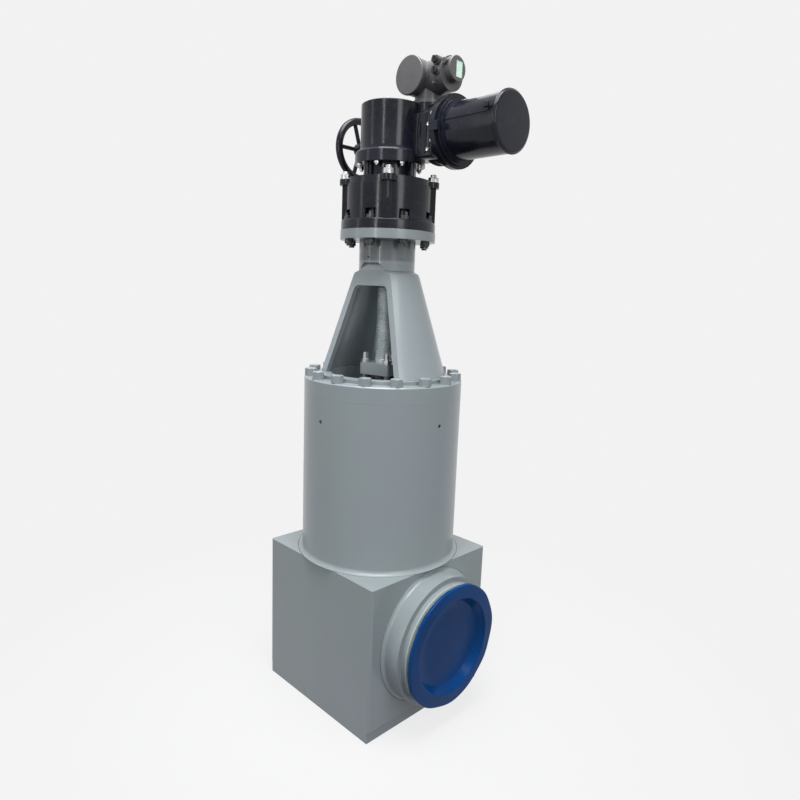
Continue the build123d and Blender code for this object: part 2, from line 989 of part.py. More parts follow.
def ear_nuts():
    nut = hexagon(ear_nut_across, adapter_top, adapter_top + ear_nut_height, ear_bolt_pitch)
    nut -= drum(ear_bolt_radius + slip, adapter_top - 1, adapter_top + ear_nut_height + 1,
                ear_bolt_pitch)
    return around(nut, 4, 45)


def coupling_drum():
    return ring(drum_radius, drum_bore, adapter_top, drum_top)


def spacer_posts():
    return around(drum(post_radius, adapter_top, drum_top, post_pitch), post_count)


# Gearcase


def gearcase():
    inside = column_radius - column_wall
    case = turned([
        (0, drum_top),
        (case_flange_radius, drum_top),
        (case_flange_radius, case_flange_top - 6),
        (case_flange_radius - 6, case_flange_top),
        (column_radius + 3, case_flange_top + 2),
        (column_radius, column_bottom),
        (column_radius, column_top - 3),
        (column_radius - 3, column_top),
        (0, column_top),
    ])
    case += bar_x(tunnel_radius, -tunnel_reach + tunnel_boss_length, arm_start + 10,
                  worm_offset, worm_level)
    case += bar_x(tunnel_boss_radius, -tunnel_reach, 0, worm_offset, worm_level)
    case += cone_x(arm_foot_radius, arm_head_radius, arm_start, arm_end, worm_offset, worm_level)
    for i in range(arm_ring_count):
        start = arm_start + arm_ring_width + i * arm_ring_pitch
        case += bar_x(arm_foot_radius + arm_ring_step, start, start + arm_ring_width, worm_offset, worm_level)
    case += drum(lever_boss_radius, worm_level, worm_level + lever_boss_height, lever_place, worm_offset)
    case += drum(pedestal_flange_radius, worm_level, pedestal_foot(), head_x + pedestal_lead, head_y)
    floor = drum_top + radial_bearing_width
    case -= drum(inside, floor + 8, column_top - roof_thickness)
    case -= drum(roof_opening, column_top - 20, column_top + 1)
    case -= drum(radial_bearing_radius + slip, drum_top - 1, floor + 9)
    case -= bar_x(worm_cavity, -worm_bearing_place - worm_bearing_width, arm_start + 8,
                  worm_offset, worm_level)
    case -= bar_x(arm_cavity, arm_start + 7, arm_end + 1, worm_offset, worm_level)
    case -= bar_x(worm_shaft_radius + shaft_play, -tunnel_reach - 1, 0, worm_offset, worm_level)
    hole = drum(case_bolt_radius + slip, drum_top - 1, drum_top + case_bolt_depth + 1, case_bolt_pitch)
    case -= around(hole, case_bolt_count, 180.0 / case_bolt_count)
    fork = block(lever_place - 40, lever_place + 40,
                 worm_offset - lever_hub_width / 2 - lever_play,
                 worm_offset + lever_hub_width / 2 + lever_play,
                 lever_level() - lever_hub_radius - 2, worm_level + lever_boss_height + 1)
    case -= fork
    case -= (Pos(lever_place, worm_offset, lever_level()) * Rot(90, 0, 0)
             * Cylinder(lever_pin_radius + slip, 3 * lever_boss_radius))
    return case


def lever_level():
    return worm_level + lever_boss_height - lever_hub_radius


def case_bolts():
    low = drum_top - case_nut_height
    bolt = drum(case_bolt_radius, low - case_bolt_spare, drum_top + case_bolt_depth, case_bolt_pitch)
    bolt += hexagon(case_nut_across, low, drum_top, case_bolt_pitch)
    return around(bolt, case_bolt_count, 180.0 / case_bolt_count)


def column_cover():
    cover = drum(cover_radius, column_top, column_top + cover_thickness)
    rim = [edge for edge in cover.edges() if edge.center().Z > column_top + 1]
    cover = fillet(rim, 2)
    spigot = roof_opening - slip
    return cover + ring(spigot, spigot - 6, column_top - 6, column_top + 1)


def cover_screws():
    reach = cover_radius - cover_screw_inset
    low = column_top + cover_thickness
    screw = drum(cover_screw_radius * 1.6, low, low + 5, reach)
    screw -= Pos(reach, 0, low + 2) * extrude(RegularPolygon(cover_screw_radius, 6), 4)
    return around(screw, cover_screw_count)


def lower_case_bearing():
    return ring(radial_bearing_radius, sleeve_radius + bearing_play, drum_top, drum_top + radial_bearing_width)


def drive_sleeve():
    low = nut_bottom() + nut_height
    top = column_top - roof_thickness - 8
    sleeve = drum(sleeve_radius, low, top) + drum(sleeve_foot_radius, low, low + sleeve_foot_height)
    sleeve -= drum(sleeve_bore, low - 1, top + 1)
    half = dog_width / 2 + dog_play
    for piece in around(block(0, nut_radius + 5, -half, half, low - 1, low + dog_height + dog_play), 2):
        sleeve -= piece
    return sleeve


def worm_wheel():
    low = worm_level - wheel_width / 2
    high = worm_level + wheel_width / 2
    return ring(wheel_radius, sleeve_radius + slip / 2, low, high)


def worm_shaft():
    end = arm_end + motor_flange_thickness + motor_length - 30
    start = -worm_bearing_place - worm_bearing_width + 4
    shaft = bar_x(worm_shaft_radius, start, end, worm_offset, worm_level)
    shaft += bar_x(worm_radius, -worm_length / 2, worm_length / 2, worm_offset, worm_level)
    return shaft


def worm_bearings():
    pieces = []
    for side in (-1, 1):
        low, high = sorted((side * worm_bearing_place, side * (worm_bearing_place - worm_bearing_width)))
        outer = bar_x(worm_bearing_radius, low, high, worm_offset, worm_level)
        pieces.append(outer - bar_x(worm_shaft_radius + bearing_play, low - 1, high + 1,
                                    worm_offset, worm_level))
    return pieces


# Motor


def motor_start():
    return arm_end + motor_flange_thickness


def motor_flange():
    plate = bar_x(motor_flange_radius, arm_end, motor_start(), worm_offset, worm_level)
    front = worm_offset - motor_flange_radius
    lug = block(arm_end, arm_end + lug_length, front - 4, front + lug_width,
                worm_level - lug_height * 0.6, worm_level + lug_height * 0.4)
    plate += lug
    plate -= bar_x(motor_ring_radius + slip, motor_start(), arm_end + lug_length + 1,
                   worm_offset, worm_level)
    plate -= bar_x(arm_cavity, arm_end - 1, motor_start() + 1, worm_offset, worm_level)
    return plate


def motor_housing():
    start = motor_start()
    collar = start + motor_ring_thickness
    barrel = collar + motor_collar_thickness
    end = start + motor_length
    housing = bar_x(motor_ring_radius, start, collar, worm_offset, worm_level)
    housing += bar_x(motor_collar_radius, collar, barrel, worm_offset, worm_level)
    housing += bar_x(motor_radius, barrel, end, worm_offset, worm_level)
    for angle in (180 - motor_seam_angle, motor_seam_angle):
        seam = (Pos((barrel + end) / 2, worm_offset, worm_level) * Rot(angle, 0, 0)
                * Pos(0, motor_radius, 0) * Box(end - barrel, 2 * motor_seam_size, motor_seam_size))
        housing += seam
    housing -= bar_x(motor_radius - motor_wall, start - 1, end + 1, worm_offset, worm_level)
    return housing


def motor_end_cap():
    start = motor_start() + motor_length
    end = start + motor_cap_length
    cap = bar_x(motor_radius + 1.5, start, end, worm_offset, worm_level)
    rim = [edge for edge in cap.edges().filter_by(GeomType.CIRCLE) if edge.center().X > end - 1]
    cap = fillet(rim, motor_cap_round)
    spigot = motor_radius - motor_wall - slip
    cap += (bar_x(spigot, start - 8, start + 1, worm_offset, worm_level)
            - bar_x(spigot - 8, start - 9, start, worm_offset, worm_level))
    return cap


def motor_bolts():
    start = motor_start()
    pieces = []
    for i in range(motor_bolt_count):
        angle = radians((i + 0.5) * 360.0 / motor_bolt_count)
        y = worm_offset + motor_bolt_pitch * cos(angle)
        z = worm_level + motor_bolt_pitch * sin(angle)
        pieces.append(bar_x(motor_bolt_radius * 1.6, arm_end - 7, arm_end, y, z))
    return pieces


def motor_stator():
    start = motor_start() + 45
    outer = bar_x(stator_radius, start, start + stator_length, worm_offset, worm_level)
    return outer - bar_x(stator_bore, start - 1, start + stator_length + 1, worm_offset, worm_level)


def motor_rotor():
    start = motor_start() + 45
    outer = bar_x(rotor_radius, start, start + stator_length, worm_offset, worm_level)
    return outer - bar_x(worm_shaft_radius, start - 1, start + stator_length + 1, worm_offset, worm_level)


# Handwheel


def handwheel():
    centre = Pos(-wheel_plane, worm_offset, worm_level)
    rim = centre * Rot(0, 90, 0) * Torus(rim_radius, rim_section)
    hub_back = -wheel_plane + wheel_hub_length * 0.7
    hub_front = hub_back - wheel_hub_length
    wheel = rim + bar_x(wheel_hub_radius, hub_front, hub_back, worm_offset, worm_level)
    for i in range(spoke_count):
        spoke = Rot(180 + i * 360.0 / spoke_count, 0, 0) * Pos(0, rim_radius / 2, 0) * Rot(90, 0, 0)
        wheel += centre * spoke * Cylinder(spoke_radius, rim_radius)
    return wheel - bar_x(worm_shaft_radius, hub_front - 1, hub_back + 1, worm_offset, worm_level)


def hand_shaft():
    start = -wheel_plane - wheel_hub_length * 0.3 - hub_nut_height - 4
    end = -worm_bearing_place - worm_bearing_width - 1
    shaft = bar_x(worm_shaft_radius, start, end, worm_offset, worm_level)
    face = -wheel_plane - wheel_hub_length * 0.3
    nut = Pos(face, worm_offset, worm_level) * Rot(0, -90, 0) * hexagon(hub_nut_across, 0, hub_nut_height)
    return shaft + nut


# Declutch lever


def declutch_lever():
    pivot = Pos(lever_place, worm_offset, lever_level())
    lever = pivot * Rot(90, 0, 0) * Cylinder(lever_hub_radius, lever_hub_width)
    rod = pivot * Rot(0, lever_lean, 0) * Pos(0, 0, lever_length / 2) * Cylinder(lever_radius, lever_length)
    ball = pivot * Rot(0, lever_lean, 0) * Pos(0, 0, lever_length) * Sphere(lever_ball)
    lever = lever + rod + ball
    return lever - pivot * Rot(90, 0, 0) * Cylinder(lever_pin_radius + shaft_play, lever_hub_width + 2)


def lever_pin():
    return (Pos(lever_place, worm_offset, lever_level()) * Rot(90, 0, 0)
            * Cylinder(lever_pin_radius, 2 * lever_boss_radius - 4))


# Electrical head


def pedestal_foot():
    """Level of the pad on the gearcase that carries the head's pedestal."""
    return column_top + pedestal_pad_step


def head_pedestal():
    low = pedestal_foot()
    x = head_x + pedestal_lead
    neck = drum(pedestal_flange_radius, low, low + pedestal_flange_thickness, x, head_y)
    neck += Pos(x, head_y, (low + head_level) / 2) * Cone(
        pedestal_radius, pedestal_radius + pedestal_spread, head_level - low)
    return neck - head_drum(head_radius) - barrel()


def head_drum(radius):
    length = head_front + head_back
    centre = head_y + (head_back - head_front) / 2
    return Pos(head_x, centre, head_level) * Rot(90, 0, 0) * Cylinder(radius, length)


def barrel(wall=0.0):
    """The tapered barrel between the terminal side and the display."""
    end = head_x + barrel_reach - wall
    return cone_x(barrel_foot_radius - wall, barrel_head_radius - wall, head_x, end, head_y, head_level)


def nose(wall=0.0, spare=0.0):
    """The short neck that carries the display, raised above the barrel's axis."""
    start = head_x + barrel_reach - 2 * head_wall
    end = head_x + nose_reach + spare
    return cone_x(nose_foot_radius - wall, nose_head_radius - wall, start, end, head_y,
                  head_level + nose_rise)


def front_bar(station, height, radius, start, end):
    """A round bar that points to the front, between two distances from the head's axis."""
    place = Pos(head_x + station, head_y - (start + end) / 2, head_level + height)
    return place * Rot(90, 0, 0) * Cylinder(radius, end - start)


def knob_height(index):
    return knob_rise + (0.5 - index) * knob_spacing


def head_housing():
    body = head_drum(head_radius) + barrel() + nose()
    for index in range(2):
        body += front_bar(knob_station, knob_height(index), knob_boss_radius, 0, knob_boss_reach)
    body += front_bar(ring_boss_station - 8, knob_height(0) - 4, ring_boss_radius, 0, nose_foot_radius + 4)
    body += front_bar(knob_station - 8, knob_height(2), head_screw_radius, 0,
                      barrel_head_radius + head_screw_height)
    cavity = Pos(head_x, head_y + (head_back - head_front) / 2 - head_wall, head_level)
    body -= cavity * Rot(90, 0, 0) * Cylinder(head_radius - head_wall, head_front + head_back)
    body -= barrel(head_wall)
    body -= nose(head_wall, 1)
    for index in range(2):
        body -= front_bar(knob_station, knob_height(index), knob_spindle_radius + shaft_play, 0,
                          knob_boss_reach + 1)
    return body


def terminal_cover():
    front = head_y - head_front
    cover = Pos(head_x, front - cover_plate_thickness / 2, head_level) * Rot(90, 0, 0)
    plate = cover * Cylinder(cover_plate_radius, cover_plate_thickness)
    outer = [edge for edge in plate.edges().filter_by(GeomType.CIRCLE)
             if edge.center().Y < front - cover_plate_thickness + 0.1]
    return fillet(outer, cover_plate_round)


def display_place():
    front = head_x + nose_reach + bezel_thickness
    return Pos(front, head_y + display_offset, head_level + nose_rise)


def display_bezel():
    start = head_x + nose_reach
    bezel = bar_x(bezel_radius, start, start + bezel_thickness, head_y, head_level + nose_rise)
    front = [edge for edge in bezel.edges().filter_by(GeomType.CIRCLE)
             if edge.center().X > start + bezel_thickness - 0.1]
    bezel = chamfer(front, bezel_chamfer)
    depth = 2 * (display_sink + display_glass)
    return bezel - display_place() * Box(depth, display_width, display_height)


def display_window():
    back = -display_sink - display_glass / 2
    return display_place() * Pos(back, 0, 0) * Box(display_glass, display_width - slip,
                                                   display_height - slip)


def knob(index):
    start = knob_boss_reach + knob_gap
    front = start + knob_length
    height = knob_height(index)
    grip = front_bar(knob_station, height, knob_radius, start, front)
    spindle = front_bar(knob_station, height, knob_spindle_radius, start - knob_spindle_length, start)
    bar = (Pos(head_x + knob_station, head_y - front - knob_bar / 2, head_level + height)
           * Box(knob_bar, knob_bar, 2 * knob_radius - 3))
    return grip + spindle + bar


def cable_plugs():
    back = head_y + head_back
    pieces = []
    for i in range(plug_count):
        x = head_x + (i - (plug_count - 1) / 2) * plug_spacing
        pieces.append(Pos(x, back + plug_length / 2, head_level) * Rot(90, 0, 0)
                      * Cylinder(plug_radius, plug_length))
    return pieces


def build():
    """Every piece by the name of its node."""
    outlet_seat = seat_ring()
    return {
        "body_block": body_block(),
        "body_neck": body_neck(),
        "outlet_hub": hub(outlet_hub_length),
        "inlet_hub": facing_out(hub(inlet_hub_length)),
        "outlet_seat_ring": outlet_seat,
        "inlet_seat_ring": facing_out(outlet_seat),
        "guide_rails": guide_rails(),
        "bonnet": bonnet(),
        "seal_ring": seal_ring(),
        "spacer_ring": spacer_ring(),
        "thrust_segments": thrust_segments(),
        "retainer_plate": retainer_plate(),
        "bonnet_studs": bonnet_studs() + bonnet_nuts(),
        "packing_rings": packing_rings(),
        "gland_bush": gland_bush(),
        "gland_flange": gland_flange(),
        "gland_studs": gland_studs() + gland_nuts(),
        "yoke": yoke(),
        "yoke_tube": yoke_tube(),
        "yoke_flange": yoke_flange(),
        "yoke_bolts": yoke_bolts() + yoke_washers(),
        "thrust_housing": thrust_housing(),
        "flange_bolts": flange_bolts() + flange_nuts(),
        "thrust_bearings": thrust_bearings(),
        "adapter_plate": adapter_plate(),
        "ear_studs": ear_studs() + ear_nuts(),
        "coupling_drum": coupling_drum(),
        "spacer_posts": spacer_posts(),
        "gearcase": gearcase(),
        "case_bolts": case_bolts(),
        "column_cover": column_cover(),
        "cover_screws": cover_screws(),
        "lower_case_bearing": lower_case_bearing(),
        "worm_bearings": worm_bearings(),
        "motor_flange": motor_flange(),
        "motor_housing": motor_housing(),
        "motor_end_cap": motor_end_cap(),
        "motor_bolts": motor_bolts(),
        "motor_stator": motor_stator(),
        "lever_pin": lever_pin(),
        "head_pedestal": head_pedestal(),
        "head_housing": head_housing(),
        "terminal_cover": terminal_cover(),
        "display_bezel": display_bezel(),
        "display_window": display_window(),
        "cable_plugs": cable_plugs(),
        "stem": stem(),
        "gate": gate(),
        "stem_nut": stem_nut(),
        "drive_sleeve": drive_sleeve(),
        "worm_wheel": worm_wheel(),
        "worm_shaft": worm_shaft(),
        "motor_rotor": motor_rotor(),
        "handwheel": handwheel(),
        "handwheel_shaft": hand_shaft(),
        "declutch_lever": declutch_lever(),
        "mode_knob": knob(0),
        "command_knob": knob(1),
        "outlet_cap": end_cap(outlet_hub_length),
        "inlet_cap": facing_out(end_cap(inlet_hub_length)),
    }


def main():
    os.makedirs("parts", exist_ok=True)
    for name, shape in build().items():
        if isinstance(shape, list):
            shape = Compound(children=shape)
        export_step(shape, f"parts/{name}.step")


main()
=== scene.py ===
"""Looks of a motor-operated gate valve: enamelled forgings, a black gear actuator, blue end caps."""
import bpy
import bmesh
from math import cos, pi, radians, sin, tau
from mathutils import Matrix, Vector


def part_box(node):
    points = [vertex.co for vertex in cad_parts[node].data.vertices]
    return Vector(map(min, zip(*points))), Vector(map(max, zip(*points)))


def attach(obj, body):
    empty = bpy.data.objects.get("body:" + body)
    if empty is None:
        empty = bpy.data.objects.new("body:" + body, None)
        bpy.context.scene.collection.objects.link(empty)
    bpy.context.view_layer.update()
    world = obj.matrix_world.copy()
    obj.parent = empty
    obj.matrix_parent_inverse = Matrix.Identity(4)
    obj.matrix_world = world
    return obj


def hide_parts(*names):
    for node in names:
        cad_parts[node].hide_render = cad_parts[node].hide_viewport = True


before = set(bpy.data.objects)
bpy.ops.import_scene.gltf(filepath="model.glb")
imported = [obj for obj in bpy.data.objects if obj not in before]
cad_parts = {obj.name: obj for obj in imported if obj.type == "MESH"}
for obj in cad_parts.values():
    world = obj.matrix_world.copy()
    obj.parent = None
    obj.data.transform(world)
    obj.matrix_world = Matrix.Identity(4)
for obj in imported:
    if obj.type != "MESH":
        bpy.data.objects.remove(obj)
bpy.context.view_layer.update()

bl_info = {
    "name": "Gate valve finisher",
    "version": (1, 0, 0),
    "blender": (4, 5, 0),
    "location": "View3D > Sidebar > Valve",
    "description": "Dresses a motor-operated gate valve: paint, end caps, stem thread and stage",
    "category": "Object",
}

sharp_angle = radians(32)
weld_distance = 1e-5
weld_end_length = 0.015
rim_steps = 192
ring_steps = 160
bead_steps = 128
stem_steps = 96
thread_steps = 40
floor_bounce = 0.14
floor_glow = 0.88
glow_near, glow_far = 0.5, 1.6
sky_colour = (0.62, 0.66, 0.70, 1)
sky_strength = 0.52

grey_enamel_nodes = ("body_block", "body_neck", "yoke", "yoke_bolts", "gland_flange")
shaded_enamel_nodes = ("yoke_flange",)
black_enamel_nodes = (
    "thrust_housing", "adapter_plate", "coupling_drum", "spacer_posts", "gearcase",
    "column_cover", "motor_flange", "motor_housing", "motor_end_cap", "handwheel",
)
head_nodes = ("head_pedestal", "head_housing", "terminal_cover", "display_bezel")
bright_nodes = (
    "case_bolts", "cover_screws", "motor_bolts", "gland_studs", "bonnet_studs",
    "declutch_lever",
)
steel_nodes = (
    "outlet_seat_ring", "inlet_seat_ring", "guide_rails", "bonnet", "seal_ring", "spacer_ring",
    "thrust_segments", "retainer_plate", "thrust_bearings", "lower_case_bearing",
    "worm_bearings", "lever_pin", "gate", "drive_sleeve", "worm_shaft", "handwheel_shaft",
)
bronze_nodes = ("stem_nut", "worm_wheel", "motor_stator", "motor_rotor")


def linear(red, green, blue):
    """A display colour of 0 to 255 as the linear colour that a shader takes."""
    def channel(value):
        share = value / 255
        return share / 12.92 if share <= 0.04045 else ((share + 0.055) / 1.055) ** 2.4
    return (channel(red), channel(green), channel(blue), 1.0)


green_cast = linear(140, 152, 146)
violet_cast = linear(142, 145, 160)
bare_end = linear(176, 187, 183)
blue_black = linear(44, 46, 64)
grey_dust = linear(60, 62, 66)
overspray = linear(20, 21, 26)
zinc = linear(206, 207, 208)
dull_zinc = linear(150, 150, 152)
clean_steel = linear(168, 168, 168)
oiled_steel = linear(120, 117, 112)
black_oxide = linear(46, 48, 52)
rubbed_oxide = linear(104, 106, 110)
# Painted shade and a lighter painted reflection for the yoke's tube above its pad.
tube_painted_shade = linear(82, 82, 88)
tube_painted_sheen = linear(100, 108, 108)
grease = linear(200, 208, 210)
wiped_stem = linear(158, 168, 170)
bright_bronze = linear(176, 138, 78)
dull_bronze = linear(136, 98, 54)
pressed_graphite = linear(34, 34, 35)
rubbed_graphite = linear(64, 64, 66)
knob_black = linear(24, 24, 25)
knob_sheen = linear(40, 40, 42)


class ValvePaint(bpy.types.PropertyGroup):
    """Colours of the valve's finishes."""
    grey: bpy.props.FloatVectorProperty(
        name="Grey enamel", description="Body, neck and yoke paint", subtype="COLOR", size=4,
        default=linear(143, 152, 156), min=0, max=1)
    # A darker copy of the body grey: painted shade on the yoke's top flange under the housing.
    shaded_grey: bpy.props.FloatVectorProperty(
        name="Flange enamel", description="Paint of the yoke's top flange", subtype="COLOR",
        size=4, default=linear(128, 137, 138), min=0, max=1)
    black: bpy.props.FloatVectorProperty(
        name="Black enamel", description="Gearcase, motor and handwheel paint", subtype="COLOR",
        size=4, default=linear(16, 18, 25), min=0, max=1)
    head: bpy.props.FloatVectorProperty(
        name="Head enamel", description="Paint of the electrical head", subtype="COLOR", size=4,
        default=linear(80, 78, 80), min=0, max=1)
    cap: bpy.props.FloatVectorProperty(
        name="Cap blue", description="Moulded plastic of the pipe end caps", subtype="COLOR",
        size=4, default=linear(0, 60, 118), min=0, max=1)
    display: bpy.props.FloatVectorProperty(
        name="Display green", description="The display behind its window", subtype="COLOR",
        size=4, default=linear(196, 224, 205), min=0, max=1)


class ValveStem(bpy.types.PropertyGroup):
    """Sizes of the stem and its thread."""
    lead: bpy.props.FloatProperty(
        name="Lead", description="Rise of the stem for one turn of its nut", default=0.010,
        min=0.004, max=0.02, unit="LENGTH")
    depth: bpy.props.FloatProperty(
        name="Depth", description="Depth of the stem's thread", default=0.0034, min=0.001,
        max=0.006, unit="LENGTH")
    foot_height: bpy.props.FloatProperty(
        name="Foot height", description="Height of the head that hangs in the gate's slot",
        default=0.024, min=0.01, max=0.05, unit="LENGTH")
    foot_radius: bpy.props.FloatProperty(
        name="Foot radius", description="Radius of the head that hangs in the gate's slot",
        default=0.038, min=0.02, max=0.06, unit="LENGTH")
    neck_radius: bpy.props.FloatProperty(
        name="Neck radius", description="Radius between the head and the shoulder",
        default=0.024, min=0.01, max=0.04, unit="LENGTH")
    neck_height: bpy.props.FloatProperty(
        name="Neck height", description="Length between the head and the shoulder",
        default=0.026, min=0.01, max=0.06, unit="LENGTH")
    back_seat: bpy.props.FloatProperty(
        name="Back seat", description="Height of the collar's top above the foot",
        default=0.253, min=0.1, max=0.5, unit="LENGTH")
    collar_height: bpy.props.FloatProperty(
        name="Collar height", description="Height of the back seat's collar", default=0.020,
        min=0.01, max=0.04, unit="LENGTH")
    radius: bpy.props.FloatProperty(
        name="Stem radius", description="Radius of the stem over its thread", default=0.0325,
        min=0.02, max=0.05, unit="LENGTH")


class ValveCap(bpy.types.PropertyGroup):
    """Sizes of the moulded end caps."""
    flare: bpy.props.FloatProperty(
        name="Flare", description="How far the soft rim laps over the weld end", default=0.0065,
        min=0, max=0.02, unit="LENGTH")
    wave: bpy.props.FloatProperty(
        name="Rim wave", description="How far the soft rim strays from round", default=0.0045,
        min=0, max=0.02, unit="LENGTH")
    wall: bpy.props.FloatProperty(
        name="Wall", description="Thickness of the moulding", default=0.0032, min=0.001,
        max=0.01, unit="LENGTH")
    rim_thickness: bpy.props.FloatProperty(
        name="Rim thickness", description="Thickness of the rim along the pipe", default=0.015,
        min=0.004, max=0.04, unit="LENGTH")
    recess_depth: bpy.props.FloatProperty(
        name="Recess depth", description="Depth of the recess from the rim's face",
        default=0.034, min=0.01, max=0.08, unit="LENGTH")
    recess_radius: bpy.props.FloatProperty(
        name="Recess radius", description="Radius of the recess at the rim's face",
        default=0.179, min=0.05, max=0.3, unit="LENGTH")
    floor_radius: bpy.props.FloatProperty(
        name="Floor radius", description="Radius of the recess at its floor", default=0.156,
        min=0.05, max=0.3, unit="LENGTH")
    plug_radius: bpy.props.FloatProperty(
        name="Plug radius", description="Radius of the part inside the pipe", default=0.1824,
        min=0.05, max=0.3, unit="LENGTH")


class ValveArm(bpy.types.PropertyGroup):
    """Sizes of the boxed casting between the column and the motor."""
    start: bpy.props.FloatProperty(
        name="Start", description="Where the box leaves the column, from the stem's axis",
        default=0.098, min=0.05, max=0.15, unit="LENGTH")
    front: bpy.props.FloatProperty(
        name="Front", description="Front face of the box, from the stem's axis", default=-0.010,
        min=-0.05, max=0.05, unit="LENGTH")
    back: bpy.props.FloatProperty(
        name="Back", description="Back face of the box, from the stem's axis", default=0.090,
        min=0.02, max=0.12, unit="LENGTH")
    above: bpy.props.FloatProperty(
        name="Above", description="Height of the box above the motor's axis", default=0.057,
        min=0.02, max=0.1, unit="LENGTH")
    below: bpy.props.FloatProperty(
        name="Below", description="Depth of the box below the motor's axis", default=0.092,
        min=0.02, max=0.12, unit="LENGTH")
    rib_start: bpy.props.FloatProperty(
        name="Rib start", description="Where the room for the ribs starts, from the stem's axis",
        default=0.118, min=0.1, max=0.2, unit="LENGTH")
    rib_width: bpy.props.FloatProperty(
        name="Rib width", description="Width of a rib along the arm", default=0.006, min=0.002,
        max=0.02, unit="LENGTH")
    rib_height: bpy.props.FloatProperty(
        name="Rib height", description="How far a rib stands out of the front", default=0.004,
        min=0.001, max=0.01, unit="LENGTH")
    collar_width: bpy.props.FloatProperty(
        name="Collar width", description="Width of the collar at the motor's flange",
        default=0.008, min=0.004, max=0.02, unit="LENGTH")
    screw_radius: bpy.props.FloatProperty(
        name="Screw radius", description="Radius of the screws on the front", default=0.0062,
        min=0.003, max=0.01, unit="LENGTH")
    clip_angle: bpy.props.FloatProperty(
        name="Clip angle", description="Place of the motor's clip, up from the front",
        default=radians(19), subtype="ANGLE")


class ValveFoot(bpy.types.PropertyGroup):
    """Sizes of the ring at the foot of the stem nut's housing."""
    height: bpy.props.FloatProperty(
        name="Height", description="Height of the foot ring", default=0.034, min=0.01, max=0.06,
        unit="LENGTH")
    inner_radius: bpy.props.FloatProperty(
        name="Inner radius", description="Radius of the ring's bore", default=0.148, min=0.1,
        max=0.16, unit="LENGTH")
    inset: bpy.props.FloatProperty(
        name="Inset", description="How far the ring stays inside the flange", default=0.002,
        min=0, max=0.01, unit="LENGTH")
    edge: bpy.props.FloatProperty(
        name="Edge", description="Rounding of the ring's upper edge", default=0.004, min=0.001,
        max=0.01, unit="LENGTH")
    nut_count: bpy.props.IntProperty(
        name="Nuts", description="Number of nuts on the ring", default=8, min=4, max=16)
    nut_turn: bpy.props.FloatProperty(
        name="Nut turn", description="Place of the first nut round the stem",
        default=radians(24), subtype="ANGLE")
    nut_inset: bpy.props.FloatProperty(
        name="Nut inset", description="Distance of the nuts' centres from the ring's edge",
        default=0.0115, min=0.005, max=0.03, unit="LENGTH")
    nut_radius: bpy.props.FloatProperty(
        name="Nut radius", description="Radius over the corners of a nut", default=0.0095,
        min=0.004, max=0.02, unit="LENGTH")
    nut_height: bpy.props.FloatProperty(
        name="Nut height", description="Height of a nut", default=0.010, min=0.004, max=0.02,
        unit="LENGTH")
    stud_radius: bpy.props.FloatProperty(
        name="Stud radius", description="Radius of the stud in a nut", default=0.0055, min=0.002,
        max=0.01, unit="LENGTH")
    stud_height: bpy.props.FloatProperty(
        name="Stud height", description="Length of the stud in and above a nut", default=0.020,
        min=0.01, max=0.04, unit="LENGTH")


class ValveStage(bpy.types.PropertyGroup):
    """The camera and the floor."""
    azimuth: bpy.props.FloatProperty(
        name="Azimuth", description="Camera's place round the stem, from the -Y side",
        default=radians(46.68), subtype="ANGLE")
    distance: bpy.props.FloatProperty(
        name="Distance", description="Camera's level distance from the stem's axis",
        default=2.4279, unit="LENGTH")
    height: bpy.props.FloatProperty(
        name="Height", description="Camera's height above the floor", default=1.5881,
        unit="LENGTH")
    pitch: bpy.props.FloatProperty(
        name="Pitch", description="How far the camera looks down", default=radians(9.88),
        subtype="ANGLE")
    yaw: bpy.props.FloatProperty(
        name="Yaw", description="How far the camera looks past the stem", default=radians(-1.603),
        subtype="ANGLE")
    roll: bpy.props.FloatProperty(
        name="Roll", description="Camera's lean", default=radians(2.146), subtype="ANGLE")
    lens: bpy.props.FloatProperty(
        name="Lens", description="Focal length on a 36 mm sensor", default=28.61, unit="CAMERA")
    backdrop: bpy.props.FloatVectorProperty(
        name="Backdrop", description="Pale floor and background", subtype="COLOR", size=4,
        default=linear(242, 242, 242), min=0, max=1)


def settings(name):
    """One group of the valve's properties."""
    return getattr(bpy.context.scene, name)


# Materials


